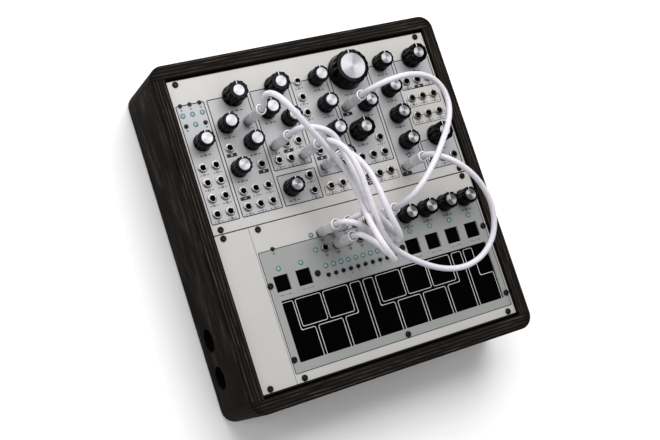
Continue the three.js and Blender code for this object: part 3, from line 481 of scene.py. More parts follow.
# ---- mesh building ---------------------------------------------------------------
class Piece:
    """Gathers closed shells, in mm, with a material for each face, into one object."""

    def __init__(self, *mats):
        self.mats = list(mats)
        self.v, self.f, self.k = [], [], []

    def mat(self, name):
        if name not in self.mats:
            self.mats.append(name)
        return self.mats.index(name)

    def faces(self, verts, faces, names):
        base = len(self.v)
        self.v += [tuple(p) for p in verts]
        for i, f in enumerate(faces):
            self.f.append([base + j for j in f])
            self.k.append(self.mat(names if isinstance(names, str) else names[i]))

    def lathe(self, cx, cy, profile, n, mat, radius=None, stripe=None):
        """Turned about +Z. profile rows are (r, z) or (r, z, material of the band above)."""
        verts, rings = [], []
        for row in profile:
            r, z = row[0], row[1]
            if r == 0:
                rings.append([len(verts)])
                verts.append((cx, cy, z))
                continue
            ring = []
            for i in range(n):
                a = 2 * math.pi * i / n
                k = radius(a, r, z) if radius else r
                ring.append(len(verts))
                verts.append((cx + k * math.cos(a), cy + k * math.sin(a), z))
            rings.append(ring)
        faces, names = [], []
        for j in range(len(rings) - 1):
            lo, hi = rings[j], rings[j + 1]
            name = profile[j][2] if len(profile[j]) > 2 else mat
            for i in range(n):
                i2 = (i + 1) % n
                if len(lo) == 1 and len(hi) == 1:
                    continue
                if len(lo) == 1:
                    f = (lo[0], hi[i2], hi[i])
                elif len(hi) == 1:
                    f = (lo[i], lo[i2], hi[0])
                else:
                    f = (lo[i], lo[i2], hi[i2], hi[i])
                faces.append(f)
                names.append(stripe[1] if stripe and stripe[0](j, i) else name)
        self.faces(verts, faces, names)

    def box(self, x0, y0, z0, x1, y1, z1, mat, c=0.3):
        """A box with chamfered upright edges and rims."""
        c = min(c, (x1 - x0) * 0.3, (y1 - y0) * 0.3, (z1 - z0) * 0.3)

        def loop(i, z):
            a, b, e, g = x0 + i, x1 - i, y0 + i, y1 - i
            return [(a + c, e, z), (b - c, e, z), (b, e + c, z), (b, g - c, z),
                    (b - c, g, z), (a + c, g, z), (a, g - c, z), (a, e + c, z)]
        v = loop(c, z0) + loop(0, z0 + c) + loop(0, z1 - c) + loop(c, z1)
        f = [tuple(reversed(range(8))), tuple(range(24, 32))]
        for k in range(3):
            for i in range(8):
                j = (i + 1) % 8
                f.append((8 * k + i, 8 * k + j, 8 * k + 8 + j, 8 * k + 8 + i))
        self.faces(v, f, mat)

    def sheet(self, outline, holes, z0, z1, mat, bevel=0.0):
        """Flat sheet with holes, from z0 to z1, its rims chamfered by bevel."""
        cu = bpy.data.curves.new("tmp", "CURVE")
        cu.dimensions = "2D"
        cu.fill_mode = "BOTH"
        cu.extrude = (z1 - z0) / 2 - bevel
        cu.bevel_depth = bevel
        cu.bevel_resolution = 0
        cu.offset = -bevel
        for pts in [outline, *holes]:
            s = cu.splines.new("POLY")
            s.points.add(len(pts) - 1)
            for p, q in zip(s.points, pts):
                p.co = (q[0], q[1], 0, 1)
            s.use_cyclic_u = True
        ob = bpy.data.objects.new("tmp", cu)
        bpy.context.scene.collection.objects.link(ob)
        dg = bpy.context.evaluated_depsgraph_get()
        me = bpy.data.meshes.new_from_object(ob.evaluated_get(dg))
        bm = bmesh.new()
        bm.from_mesh(me)
        bmesh.ops.remove_doubles(bm, verts=bm.verts, dist=1e-5)
        zc = (z0 + z1) / 2
        bm.verts.ensure_lookup_table()
        self.faces([(v.co.x, v.co.y, v.co.z + zc) for v in bm.verts],
                   [tuple(v.index for v in f.verts) for f in bm.faces], mat)
        bm.free()
        bpy.data.objects.remove(ob)
        bpy.data.curves.remove(cu)
        bpy.data.meshes.remove(me)

    def text(self, string, x, y, size, z0, z1, mat, bold=0.0):
        cu = bpy.data.curves.new("tmp", "FONT")
        cu.body = string
        cu.size = size
        cu.align_x = "CENTER"
        cu.align_y = "CENTER"
        cu.resolution_u = 2
        cu.offset = bold
        cu.extrude = (z1 - z0) / 2
        ob = bpy.data.objects.new("tmp", cu)
        bpy.context.scene.collection.objects.link(ob)
        dg = bpy.context.evaluated_depsgraph_get()
        me = bpy.data.meshes.new_from_object(ob.evaluated_get(dg))
        zc = (z0 + z1) / 2
        self.faces([(v.co.x + x, v.co.y + y, v.co.z + zc) for v in me.vertices],
                   [tuple(p.vertices) for p in me.polygons], mat)
        bpy.data.objects.remove(ob)
        bpy.data.curves.remove(cu)
        bpy.data.meshes.remove(me)

    def done(self, name, body, slot, *nodes, origin=(0, 0, 0), angle=34, flip=True):
        me = bpy.data.meshes.new(name)
        ox, oy, oz = origin
        me.from_pydata([((x - ox) / 1000, (y - oy) / 1000, (z - oz) / 1000) for x, y, z in self.v], [], self.f)
        for m in self.mats:
            me.materials.append(M[m])
        me.polygons.foreach_set("material_index", self.k)
        me.update()
        if flip:
            bm = bmesh.new()
            bm.from_mesh(me)
            bmesh.ops.recalc_face_normals(bm, faces=bm.faces)
            bm.to_mesh(me)
            bm.free()
        me.polygons.foreach_set("use_smooth", [True] * len(me.polygons))
        me.set_sharp_from_angle(angle=math.radians(angle))
        ob = bpy.data.objects.new(name, me)
        ob.location = (ox / 1000, oy / 1000, oz / 1000)
        bpy.context.scene.collection.objects.link(ob)
        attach(ob, body)
        if nodes:
            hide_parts(*nodes)
        return ob


def circle(c, r, n=28):
    return [(X(c[0]) + r * math.cos(2 * math.pi * i / n), Y(c[1]) + r * math.sin(2 * math.pi * i / n)) for i in range(n)]


def rounded(pts, r, n=5):
    """Corners of a closed outline, in panel mm, rounded; result in row-frame mm."""
    out = []
    m = len(pts)
    for i in range(m):
        a, b, c = Vector(pts[i - 1]), Vector(pts[i]), Vector(pts[(i + 1) % m])
        u, w = (a - b), (c - b)
        k = min(r, u.length * 0.45, w.length * 0.45)
        u.normalize()
        w.normalize()
        if k <= 0.01:
            out.append(b)
            continue
        p, q = b + u * k, b + w * k
        for j in range(n + 1):
            t = j / n
            out.append(p * (1 - t) ** 2 + b * 2 * t * (1 - t) + q * t * t)
    return [(X(p.x), Y(p.y)) for p in out]


def inset(pts, w):
    """Closed outline, counter-clockwise, moved inwards by w."""
    out = []
    m = len(pts)
    for i in range(m):
        a, b, c = Vector(pts[i - 1]), Vector(pts[i]), Vector(pts[(i + 1) % m])
        u, v = (b - a).normalized(), (c - b).normalized()
        nu, nv = Vector((-u.y, u.x)), Vector((-v.y, v.x))
        k = (nu + nv) / (1 + nu.dot(nv))
        out.append(tuple(b + k * w))
    return out


def rect(x0, y0, x1, y1):
    return [(x0, y0), (x1, y0), (x1, y1), (x0, y1)]


# ---- case: four walls swept round the footprint ------------------------------------
def case():
    W, L, H, T, R, E = 134.3, 143.65, 74.0, 12.0, 12.0, 3.0
    path = []                                   # (point on the outer surface, inward direction)
    corners = ((W - R, L - R, 0), (-(W - R), L - R, 90), (-(W - R), -(L - R), 180), (W - R, -(L - R), 270))
    for cx, cy, a0 in corners:
        for i in range(15):
            a = math.radians(a0 + 90 * i / 14)
            path.append(((cx + R * math.cos(a), cy + R * math.sin(a)), (-math.cos(a), -math.sin(a))))
    sec = [(T, 0.0)]
    for i in range(7):
        a = math.radians(90 * i / 6)
        sec.append((E - E * math.sin(a), E - E * math.cos(a)))
    for i in range(7):
        a = math.radians(90 * i / 6)
        sec.append((E - E * math.cos(a), H - E + E * math.sin(a)))
    sec += [(T - 0.25, H), (T, H - 0.25)]
    n, m = len(path), len(sec)
    bm = bmesh.new()
    grid = [[bm.verts.new((p[0] + q[0] * d, p[1] + q[1] * d, z)) for d, z in sec] for p, q in path]
    for i in range(n):
        for j in range(m):
            k, l = (i + 1) % n, (j + 1) % m
            bm.faces.new((grid[i][j], grid[k][j], grid[k][l], grid[i][l]))
    bmesh.ops.remove_doubles(bm, verts=bm.verts, dist=1e-4)
    bmesh.ops.recalc_face_normals(bm, faces=bm.faces)
    me = bpy.data.meshes.new("walls")
    bmesh.ops.scale(bm, vec=(0.001,) * 3, verts=bm.verts)
    bm.to_mesh(me)
    bm.free()
    ob = bpy.data.objects.new("walls", me)
    bpy.context.scene.collection.objects.link(ob)
    cutters = []
    for y in (INLET_Y, SWITCH_Y):
        b2 = bmesh.new()
        bmesh.ops.create_cone(b2, cap_ends=True, segments=48, radius1=0.0098, radius2=0.0098, depth=0.03)
        bmesh.ops.rotate(b2, matrix=Matrix.Rotation(math.pi / 2, 3, "Y"), verts=b2.verts)
        bmesh.ops.translate(b2, vec=(-0.1283, y / 1000, HOLE_Z / 1000), verts=b2.verts)
        mc = bpy.data.meshes.new("cut")
        b2.to_mesh(mc)
        b2.free()
        co = bpy.data.objects.new("cut", mc)
        bpy.context.scene.collection.objects.link(co)
        mod = ob.modifiers.new("hole", "BOOLEAN")
        mod.object = co
        mod.operation = "DIFFERENCE"
        mod.solver = "EXACT"
        cutters.append(co)
    dg = bpy.context.evaluated_depsgraph_get()
    new = bpy.data.meshes.new_from_object(ob.evaluated_get(dg))
    ob.modifiers.clear()
    ob.data = new
    for c in cutters:
        bpy.data.objects.remove(c)
    new.materials.clear()
    new.materials.append(M["plywood"])
    new.polygons.foreach_set("use_smooth", [True] * len(new.polygons))
    new.set_sharp_from_angle(angle=math.radians(30))
    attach(ob, "case")
    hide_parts("case_walls")


case()

p = Piece("plywood")
p.box(-121.9, -131.2, 0.0, 121.9, 131.2, 4.0, "plywood", 0.4)
p.done("base_board", "case", "plywood", "base_panel")


# ---- rails, brackets, panel screws, inlet and switch housing -------------------------
def screw(p, c, z, head=2.6, high=1.65):
    """Low button head with a six-sided socket."""
    x, y = X(c[0]), Y(c[1])
    s = 6
    p.lathe(x, y, [(0, z - 3.2), (1.4, z - 3.2), (1.4, z), (head - 0.1, z), (head, z + 0.15), (head - 0.02, z + 0.6),
                   (head - 0.3, z + 1.1), (head - 0.75, z + 1.45), (1.45, z + high)], 32, "screw")
    # rim of the socket down to its floor
    ring = [(x + 1.45 * math.cos(2 * math.pi * i / 32), y + 1.45 * math.sin(2 * math.pi * i / 32), z + high)
            for i in range(32)]
    hexa = []
    for i in range(32):
        a = 2 * math.pi * i / 32
        k = 1.05 * math.cos(math.pi / s) / math.cos((a % (2 * math.pi / s)) - math.pi / s)
        hexa.append((x + k * math.cos(a), y + k * math.sin(a), z + high - 0.02))
    floor = [(q[0], q[1], z + 0.55) for q in hexa]
    v = ring + hexa + floor
    f = []
    for i in range(32):
        j = (i + 1) % 32
        f.append((i, j, 32 + j, 32 + i))
        f.append((32 + i, 32 + j, 64 + j, 64 + i))
    f.append(tuple(range(64, 96)))
    names = ["screw"] * 64 + ["bore"]
    p.faces(v, f, names)


p = Piece("rail")
EX = 122.0
for yc, half in ((Y(3), 4.5), (Y(129.1), 8.0), (Y(254.8), 4.5)):
    p.box(-EX, yc - half, 59.0, EX, yc + half, 66.4, "rail", 0.4)
    p.box(-EX, yc - half, 66.4, EX, yc - half + 2.0, 68.7, "rail", 0.3)
    p.box(-EX, yc + half - 2.0, 66.4, EX, yc + half, 68.7, "rail", 0.3)
    p.box(-EX, yc - 2.6, 66.0, EX, yc + 2.6, 68.2, "nickel", 0.3)
for x0, x1 in ((-EX, -EX + 3), (EX - 3, EX)):
    p.box(x0, Y(3) - 4.5, 52.0, x1, Y(254.8) + 4.5, 60.8, "rail", 0.4)
p.box(-EX, INLET_Y - 8, 52, -101, SWITCH_Y + 9, 55, "rail", 0.3)
p.box(-104, INLET_Y - 8, 14, -101, SWITCH_Y + 9, 53, "rail", 0.3)
for c in SCREWS_UPPER + SCREWS_BLANK + SCREWS_KEYS:
    screw(p, c, TOP + 0.04)


def turned_x(p, y, z, profile, n, mat):
    """Turned about an axis along X; profile rows are (r, x[, material])."""
    verts, rings = [], []
    for row in profile:
        r, x = row[0], row[1]
        if r == 0:
            rings.append([len(verts)])
            verts.append((x, y, z))
            continue
        ring = []
        for i in range(n):
            a = 2 * math.pi * i / n
            ring.append(len(verts))
            verts.append((x, y + r * math.cos(a), z + r * math.sin(a)))
        rings.append(ring)
    faces, names = [], []
    for j in range(len(rings) - 1):
        lo, hi = rings[j], rings[j + 1]
        name = profile[j][2] if len(profile[j]) > 2 else mat
        for i in range(n):
            i2 = (i + 1) % n
            if len(lo) == 1:
                faces.append((lo[0], hi[i2], hi[i]))
            elif len(hi) == 1:
                faces.append((lo[i], lo[i2], hi[0]))
            else:
                faces.append((lo[i], lo[i2], hi[i2], hi[i]))
            names.append(name)
    p.faces(verts, faces, names)


# inlet: moulded block with a round socket, its throat and its centre pin
p.box(-116.5, INLET_Y - 5.5, HOLE_Z - 6, -103.2, INLET_Y + 5.5, HOLE_Z + 6, "moulded", 0.5)
turned_x(p, INLET_Y, HOLE_Z, [(5.3, -116.4), (5.3, -118.2), (5.0, -118.5), (3.5, -118.5), (3.2, -118.2, "brass"),
                              (3.2, -107.6, "bore"), (1.05, -107.6, "nickel"), (1.05, -116.6, "nickel"),
                              (0.7, -117.1, "nickel"), (0, -117.2)], 36, "moulded")
# switch: moulded block with a round well for the push button
p.box(-107.0, SWITCH_Y - 8, HOLE_Z - 8, -103.2, SWITCH_Y + 8, HOLE_Z + 8, "moulded", 0.6)
turned_x(p, SWITCH_Y, HOLE_Z, [(7.6, -106.9), (7.6, -114.1), (7.2, -114.5), (6.6, -114.5), (6.3, -114.2),
                               (6.3, -107.1), (0, -107.1)], 40, "moulded")
p.done("rails_and_screws", "case", "rail", "rail_frame")

p = Piece("button")
turned_x(p, 0, 0, [(0, 6.5), (5.2, 6.5), (5.5, 6.2), (5.5, -5.7), (5.3, -6.2), (4.8, -6.45), (4.1, -6.35), (2.2, -6.15),
                   (0, -6.1)], 48, "button")
p.v = [(x - 117.5, y + SWITCH_Y, z + HOLE_Z) for x, y, z in p.v]
p.done("power_button", "power_switch", "button", "power_switch")


# ---- panels: aluminium sheets with round holes ---------------------------------------
CUTS_UPPER = ([(c, 4.1) for c in SMALL_UPPER + WIDE_UPPER + [LARGE_UPPER]] + [(c, 3.45) for c in JACKS_UPPER]
              + [(c, 1.9) for c in SCREWS_UPPER] + [(c, 1.85) for c in BUTTONS_UPPER] + [(c, 1.5) for c in LEDS_UPPER])
CUTS_KEYS = ([(c, 4.1) for c in SMALL_LOWER] + [(c, 3.45) for c in JACKS_LOWER] + [(c, 1.9) for c in SCREWS_KEYS + SCREWS_TOUCH]
             + [(c, 1.85) for c in BUTTON_LOWER + STEPS] + [(c, 1.5) for c in LEDS_BOARD + LEDS_TOUCH])
WINDOWS = [rect(x, y, x + PAD, y + PAD) for x, y in PADS] + [rect(*KEY_FIELD)]

p = Piece("panel")
p.sheet(rounded(rect(0.1, 129.5, 243.74, 257.8), 0.5, 3), [circle(c, r) for c, r in CUTS_UPPER],
        TOP - SHEET, TOP, "panel", 0.12)
p.done("upper_panel", "case", "panel", "synth_panel")
p = Piece("panel")
p.sheet(rounded(rect(0.1, 0, 30.33, 128.5), 0.5, 3), [circle(c, 1.9) for c in SCREWS_BLANK], TOP - SHEET, TOP, "panel", 0.12)
p.done("plain_panel", "case", "panel", "blank_panel")
p = Piece("panel")
p.sheet(rounded(rect(30.63, 0, 243.74, 128.5), 0.5, 3),
        [circle(c, r) for c, r in CUTS_KEYS] + [rounded(w, 0.6, 4) for w in WINDOWS], TOP - SHEET, TOP, "panel", 0.12)
p.done("keys_panel", "case", "panel", "keyboard_panel")

# ---- printed areas, outlines and numbers ----------------------------------------------
Z1, Z2, Z3, Z4 = TOP + 0.035, TOP + 0.07, TOP + 0.10, TOP + 0.13


def holes_in(x0, y0, x1, y1, cuts, extra=0.1):
    return [circle(c, r + extra) for c, r in cuts
            if x0 + r + extra + 0.4 < c[0] < x1 - r - extra - 0.4 and y0 + r + extra + 0.4 < c[1] < y1 - r - extra - 0.4]


def clear_of(x0, y0, x1, y1, cuts):
    return all(not (x0 - r < c[0] < x1 + r and y0 - r < c[1] < y1 + r) for c, r in cuts)


ink = Piece("zone")


def outline(poly, r, w, mat, z0=TOP, z1=Z2):
    ink.sheet(rounded(poly, r), [rounded(inset(poly, w), max(r - w, 0.05))], z0, z1, mat)


def section(x0, y0, x1, y1, cuts, r=1.6, mat="zone", line=0.8):
    ink.sheet(rounded(rect(x0, y0, x1, y1), r), holes_in(x0, y0, x1, y1, cuts), TOP, Z1, mat)
    outline(rect(x0 - 0.25, y0 - 0.25, x1 + 0.25, y1 + 0.25), r, line, "ink")


for s in ((2, 137.7, 26.5, 237), (29, 137.7, 65, 237), (180, 137.7, 204.5, 237), (67.5, 168, 102.5, 237),
          (67.5, 137.7, 102.8, 163.5), (105.5, 154.5, 139, 237), (142, 154.5, 177.5, 237), (207, 210, 242, 237),
          (207, 137.7, 241.5, 163.5)):
    section(*s, CUTS_UPPER)
for s in ((105.5, 137.8, 139, 145.5), (143, 137.8, 177, 145.5), (207, 193.8, 241, 201.5), (207, 178, 241, 186)):
    outline(rect(*s), 1.4, 0.5, "ink")
# keyboard zone: one large grey field
x0, y0, x1, y1 = 31.6, 7.3, 242.3, 107.3
ink.sheet(rounded(rect(x0, y0, x1, y1), 1.2), holes_in(x0, y0, x1, y1, CUTS_KEYS) + [rounded(w, 0.7, 4) for w in
          [rect(a - 0.1, b - 0.1, c + 0.1, d + 0.1) for a, b, c, d in
           [(x, y, x + PAD, y + PAD) for x, y in PADS] + [KEY_FIELD]]], TOP, Z1, "zone_keys")
outline(rect(x0, y0, x1, y1), 1.2, 0.6, "ink")

# teal rings round the lights
for c in LEDS_UPPER + LEDS_BOARD + LEDS_TOUCH:
    ink.sheet(circle(c, 2.22), [circle(c, 1.46)], TOP, Z3, "teal")

# small generic numbers and marks
number = [0]


def label(x, y, width=0, mat="ink", size=2.7):
    number[0] += 1
    ink.text(f"{number[0]:02d}", X(x), Y(y), size, TOP, Z3, mat, 0.06)
    if width:
        for s in (-1, 1):
            u, v = sorted((x + s * 2.4, x + s * width / 2))
            ink.sheet([(X(a), Y(b)) for a, b in rect(u, y - 0.35, v, y + 0.35)], [], TOP, Z3, mat)


def badge(x, y, w=9.0, h=3.0):
    number[0] += 1
    ink.sheet(rounded(rect(x - w / 2, y - h / 2, x + w / 2, y + h / 2), 0.9), [], TOP, Z2, "ink")
    ink.text(f"{number[0]:02d}", X(x), Y(y), 1.9, TOP, Z4, "pale_ink")


BADGES = {(35.7, 194.8), (58.1, 176.1), (35.7, 158.3), (85, 188), (112, 175.6), (148, 206.8), (148, 145.4), (185, 145.5),
          (223.8, 217.3)}
for c in JACKS_UPPER:
    if c in BADGES:
        badge(c[0] + 0.3, c[1] - 6.0)
    else:
        label(c[0], c[1] - 5.9, 7.2)
for c in JACKS_LOWER:
    label(c[0], c[1] - 6.3)
for c in SMALL_UPPER + SMALL_LOWER:
    label(c[0], c[1] - 10.4, 9.5)
for c in WIDE_UPPER:
    label(c[0], c[1] - 12.2, 10.5)
label(LARGE_UPPER[0], LARGE_UPPER[1] - 19.5, 14.0, size=2.8)
for c in BUTTONS_UPPER + BUTTON_LOWER:
    label(c[0], c[1] - 3.9, size=1.7)
for i, c in enumerate(STEPS):
    ink.text(str(i + 1), X(c[0]), Y(c[1] - 3.7), 2.0, TOP, Z3, "ink")
for i, (x, y) in enumerate(PADS):
    ink.text(str(i + 1), X(x + 6.5), Y(y - 3.0), 2.2, TOP, Z3, "ink")
    for s in (-1, 1):
        a, b = sorted((x + 6.5 + s * 2.0, x + 6.5 + s * 5.0))
        ink.sheet([(X(u), Y(v)) for u, v in rect(a, y - 3.2, b, y - 2.8)], [], TOP, Z3, "ink")
# link lines that join the upper row of buttons
ink.sheet([(X(a), Y(b)) for a, b in rect(8.2, 236.55, 12.0, 236.85)], [], TOP, Z2, "ink")
ink.sheet([(X(a), Y(b)) for a, b in rect(16.4, 236.55, 20.6, 236.85)], [], TOP, Z2, "ink")
ink.done("panel_printing", "case", "panel", flip=True, angle=30)


# ---- jacks, pots, buttons and lights on their boards ------------------------------------
def jack(p, c):
    x, y = X(c[0]), Y(c[1])
    p.box(x - 4.4, y - 4.4, 58.4, x + 4.4, y + 4.4, 66.6, "moulded", 0.4)

    def knurl(a, r, z):
        return r * (1 - 0.018 * (0.5 - 0.5 * math.cos(20 * a))) if r > 3.7 else r
    p.lathe(x, y, [(2.95, 66.4), (2.95, 71.06), (3.72, 71.06), (3.86, 71.2), (3.86, 71.7), (3.62, 72.05), (3.3, 72.1),
                   (3.22, 72.0), (3.05, 71.98), (3.05, 72.95), (2.85, 73.15), (2.6, 73.15, "nickel"), (2.38, 72.95, "bore"),
                   (2.3, 71.0, "brass"), (2.3, 69.6, "bore"), (2.3, 59.4, "bore"), (0, 59.4)], 40, "nickel", knurl)


def pot(p, c, wide=False):
    x, y = X(c[0]), Y(c[1])
    p.box(x - 4.85, y - 4.85, 58.4, x + 4.85, y + 4.85, 63.9, "pot", 0.4)
    # threaded bushing and its nut under the knob
    p.lathe(x, y, [(3.15, 64.0), (3.6, 64.0), (3.6, 71.9), (3.15, 71.9), (3.15, 64.0)], 28, "nickel")
    v = []
    for z in (71.05, 71.75, 71.95):
        k = 4.9 if z < 71.9 else 4.6
        v += [(x + k * math.cos(math.pi / 3 * i), y + k * math.sin(math.pi / 3 * i), z) for i in range(6)]
    inner = [(x + 3.62 * math.cos(math.pi / 3 * i), y + 3.62 * math.sin(math.pi / 3 * i), z) for z in (71.05, 71.95)
             for i in range(6)]
    f = []
    for i in range(6):
        j = (i + 1) % 6
        f += [(i, j, 6 + j, 6 + i), (6 + i, 6 + j, 12 + j, 12 + i), (12 + i, 12 + j, 24 + j, 24 + i),
              (18 + i, 18 + j, j, i), (24 + i, 24 + j, 18 + j, 18 + i)]
    p.faces(v + inner, f, "nickel")


def button(p, x, y, z0, top, r=1.5):
    p.lathe(x, y, [(0, z0), (r, z0), (r, top - 0.35), (r - 0.12, top - 0.12), (r - 0.4, top), (r - 0.75, top - 0.03),
                   (0, top - 0.08)], 28, "button")


def led(p, c, z0):
    x, y = X(c[0]), Y(c[1])
    p.lathe(x, y, [(0, z0), (1.38, z0), (1.38, 70.8), (1.3, 71.05), (1.05, 71.2), (0.6, 71.3), (0, 71.34)], 24, "lens")


p = Piece("pcb")
p.box(X(4), Y(139.6), BOARD_Z[0], X(239.8), Y(249.6), BOARD_Z[1], "pcb", 0.2)
for c in JACKS_UPPER:
    jack(p, c)
for c in SMALL_UPPER + WIDE_UPPER + [LARGE_UPPER]:
    pot(p, c)
for c in BUTTONS_UPPER:
    p.box(X(c[0]) - 3, Y(c[1]) - 3, 58.4, X(c[0]) + 3, Y(c[1]) + 3, 62.0, "moulded", 0.3)
    button(p, X(c[0]), Y(c[1]), 61.8, 72.5)
for c in LEDS_UPPER:
    led(p, c, 58.4)
p.done("upper_board", "case", "board", "synth_board")

p = Piece("pcb")
p.box(X(34.5), Y(10), BOARD_Z[0], X(239.8), Y(119), BOARD_Z[1], "pcb", 0.2)
p.sheet(rounded(rect(31.4, 8.2, 242.4, 88), 0.8, 3),
        [circle(c, 1.75, 20) for c in STEPS], TOUCH_Z[0], TOUCH_Z[1], "mask", 0.08)
for c in [(50, 14), (225, 14), (50, 69), (225, 69)]:
    p.lathe(X(c[0]), Y(c[1]), [(0, 58.4), (2.9, 58.4), (2.9, 67.2), (0, 67.2)], 6, "nickel")
for c in JACKS_LOWER:
    jack(p, c)
for c in SMALL_LOWER:
    pot(p, c)
for c in BUTTON_LOWER:
    p.box(X(c[0]) - 3, Y(c[1]) - 3, 58.4, X(c[0]) + 3, Y(c[1]) + 3, 62.0, "moulded", 0.3)
    button(p, X(c[0]), Y(c[1]), 61.8, 72.5)
for c in LEDS_BOARD:
    led(p, c, 58.4)
for c in LEDS_TOUCH:
    led(p, c, 68.5)
for c in SCREWS_TOUCH:
    screw(p, c, TOP + 0.06)


# white outlines on the touch board
def trace(poly, w=0.46, r=2.0):
    p.sheet(rounded(poly, r, 6), [rounded(inset(poly, w), r - w, 6)], TOUCH_Z[1] - 0.02, TOUCH_Z[1] + 0.05, "legend")


for i in range(8):
    a = 38.9 + 25 * i
    b = a + 22.7
    lo, hi, full = 14.3, 39.5, 64.2
    if i == 0:
        trace([(a, lo), (b, lo), (b, hi), (49.2, hi), (49.2, full), (a, full)])
    elif i in (2, 6):
        u = 101.6 if i == 2 else 201.6
        trace([(a, lo), (b, lo), (b, full), (u, full), (u, hi), (a, hi)])
    elif i in (3, 7):
        u = 123.5 if i == 3 else 223.4
        trace([(a, lo), (b, lo), (b, hi), (u, hi), (u, full), (a, full)])
    else:
        trace(rect(a, lo, b, hi))
for a, b in ((50.9, 74.2), (76.1, 99.4), (125.9, 149.2), (151.1, 174.3), (176.1, 199.2)):
    trace(rect(a, 41.5, b, 64.2))
p.done("keyboard_boards", "case", "board", "keyboard_board")

for i, c in enumerate(STEPS):
    p = Piece("button")
    button(p, X(c[0]), Y(c[1]), 69.4, 72.6)
    name = f"step_button_{i + 1:02d}"
    p.done(f"step_cap_{i + 1:02d}", name, "button", name)


# ---- knobs -------------------------------------------------------------------------------
def knob(name, c, r0, r1, h, cap, flutes, depth, n, mark, sharp=2.2, smooth_to=0.0):
    x, y = X(c[0]), Y(c[1])
    z0 = TOP + 1.2
    top = TOP + h
    skirt = z0 + (1.7 if flutes < 16 else 1.2)

    def fluted(a, r, z):
        if z <= skirt + 0.1 or z > top - 0.2 or r < r1 - 0.7:
            return r
        w = 0.5 - 0.5 * math.cos(flutes * (a - math.pi / 2))
        fade = 1.0
        if smooth_to:                                   # flutes grow out of a smooth skirt
            t = min(1.0, max(0.0, (z - skirt) / (top - skirt) - smooth_to) / (0.85 - smooth_to))
            fade = t * t * (3 - 2 * t)
        return r - depth * fade * w ** sharp
    prof = [(0, 64.4), (2.7, 64.4), (3.0, 64.7), (3.0, z0 + 0.6), (r0 - 1.4, z0 + 0.6), (r0 - 1.2, z0), (r0 - 0.25, z0),
            (r0, z0 + 0.25), (r0, z0 + 0.75), (r0 - 0.2, skirt)]
    rb = r0 - 0.45                                      # foot of the fluted sides
    for k in range(5):
        t = k / 4
        prof.append((rb + (r1 + 0.05 - rb) * t ** 0.85, skirt + 0.2 + (top - 1.25 - skirt - 0.2) * t))
    prof += [(r1 - 0.02, top - 0.9), (r1 - 0.16, top - 0.55), (r1 - 0.45, top - 0.33), (r1 - 0.75, top - 0.27),
             (cap + 0.28, top - 0.27), (cap + 0.14, top - 0.5), (cap, top - 0.5, "spun"), (cap, top - 0.14, "spun"),
             (cap - 0.14, top - 0.02, "spun"), (cap * 0.6, top - 0.01, "spun"), (cap * 0.2, top - 0.005, "spun"), (0, top)]
    first_side, last_rim = 9, len(prof) - 9
    seg = 360 / n

    def marked(j, i):
        a = (i + 0.5) * seg
        return abs(a - 90) < mark * seg and first_side <= j <= last_rim
    p = Piece("knob")
    p.lathe(x, y, prof, n, "knob", fluted, (marked, "pointer"))
    p.done(name.replace("knob", "dial"), name, "knob", name, origin=(x, y, 0), angle=40)


for i, c in enumerate(SMALL_UPPER):
    knob(f"knob_{i + 1:02d}", c, 7.5, 7.1, 14.5, 4.75, 12, 0.6, 120, 1.1)
for i, c in enumerate(SMALL_LOWER):
    knob(f"keyboard_knob_{i + 1}", c, 7.5, 7.1, 14.5, 4.75, 12, 0.6, 120, 1.1)
for i, c in enumerate(WIDE_UPPER):
    knob(f"wide_knob_{i + 1}", c, 9.3, 8.6, 16.3, 4.65, 10, 1.15, 140, 1.1, 1.6)
knob("large_knob", LARGE_UPPER, 16.0, 15.0, 17.3, 11.2, 16, 1.6, 256, 1.4, 1.3, 0.3)

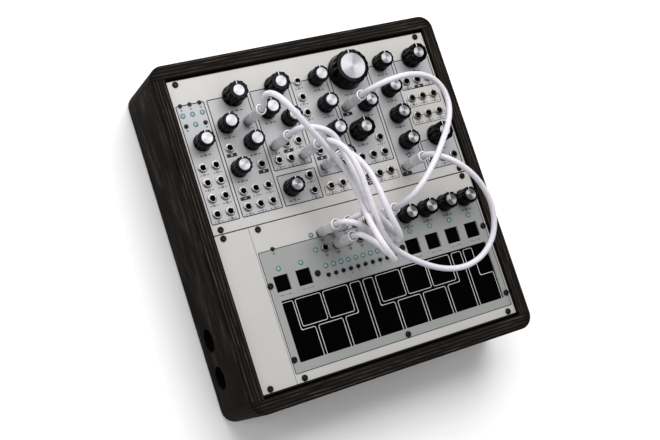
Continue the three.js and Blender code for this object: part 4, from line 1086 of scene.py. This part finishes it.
# ---- plugs and cables ----------------------------------------------------------------------
for i, pts in enumerate(CABLES):
    for tag, q in (("a", pts[0]), ("b", pts[-1])):
        x, y = q[0] * 1000, q[1] * 1000
        p = Piece("frosted")

        prof = [(0, 59.7, "nickel"), (0.8, 59.9, "nickel"), (1.6, 61.0, "nickel"), (1.1, 62.6, "nickel"),
                (1.72, 63.3, "nickel"), (1.72, 72.9, "nickel"), (2.5, 73.6, "nickel"), (3.4, 73.62, "nickel"),
                (3.4, 74.3), (3.8, 74.4), (4.05, 74.8), (4.05, 88.4), (4.1, 88.5, "collar"), (4.42, 88.7, "collar"),
                (4.42, 89.5, "collar"), (4.3, 89.7), (4.3, 97.0), (4.36, 103.2, "collar"), (4.3, 103.7, "collar"), (4.1, 103.95, "collar"),
                (3.75, 103.98, "collar"), (3.5, 103.75), (3.35, 103.0), (3.1, 97.6), (2.42, 97.2, "cable"),
                (2.4, 104.2, "cable"), (0, 104.2)]
        p.lathe(x, y, prof, 36, "frosted", None)
        p.done(f"jack_plug_{i + 1}{tag}", "case", "plug", f"plug_{i + 1}{tag}", origin=(x, y, 0), angle=30)
    cu = bpy.data.curves.new(f"lead_{i + 1}", "CURVE")
    cu.dimensions = "3D"
    cu.bevel_depth = CABLE_D / 2
    cu.bevel_resolution = 5
    cu.use_fill_caps = True
    s = cu.splines.new("POLY")
    line = along(pts)
    s.points.add(len(line) - 1)
    for a, b in zip(s.points, line):
        a.co = (*b, 1.0)
    s.use_smooth = True
    cu.materials.append(M["cable"])
    ob = bpy.data.objects.new(f"lead_{i + 1}", cu)
    bpy.context.scene.collection.objects.link(ob)
    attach(ob, "case")
    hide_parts(f"patch_cable_{i + 1}")

# ---- floor, light ---------------------------------------------------------------------------
me = bpy.data.meshes.new("studio_floor")
me.from_pydata([(-3, -3, 0), (3, -3, 0), (3, 3, 0), (-3, 3, 0)], [], [(0, 1, 2, 3)])
floor = bpy.data.objects.new("studio_floor", me)
bpy.context.scene.collection.objects.link(floor)
fm = Mat("pale_floor")
fn = fm.noise(fm.pos(), 0.02, 2.0)
fm.colour(fm.ramp(fn, (0.3, (0.94, 0.94, 0.94)), (0.7, (0.955, 0.955, 0.955))))
fm.set(Roughness=0.9, Specular_IOR_Level=0.0)
me.materials.append(fm.m)
floor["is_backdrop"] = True

world = bpy.data.worlds.new("studio")
world.use_nodes = True
world.node_tree.nodes["Background"].inputs[0].default_value = (1.0, 1.0, 1.0, 1.0)
world.node_tree.nodes["Background"].inputs[1].default_value = 0.32
bpy.context.scene.world = world


def area(name, loc, target, size, power):
    d = bpy.data.lights.new(name, "AREA")
    d.shape = "RECTANGLE"
    d.size, d.size_y = size
    d.energy = power
    o = bpy.data.objects.new(name, d)
    o.location = loc
    o.rotation_euler = (Vector(target) - Vector(loc)).to_track_quat("-Z", "Y").to_euler()
    bpy.context.scene.collection.objects.link(o)


area("key", (0.12, 0.80, 1.26), (0, 0.03, 0.06), (1.5, 1.2), 29.5)
area("left", (-1.5, 0.2, 0.75), (0, 0, 0.06), (0.8, 0.6), 6)
area("right", (1.6, -0.1, 0.6), (0, 0, 0.06), (0.7, 0.5), 3)
area("front", (0.2, -1.6, 0.9), (0, -0.35, 0.0), (1.4, 0.7), 3.6)
bpy.context.scene.view_settings.view_transform = "Standard"

lo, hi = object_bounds()
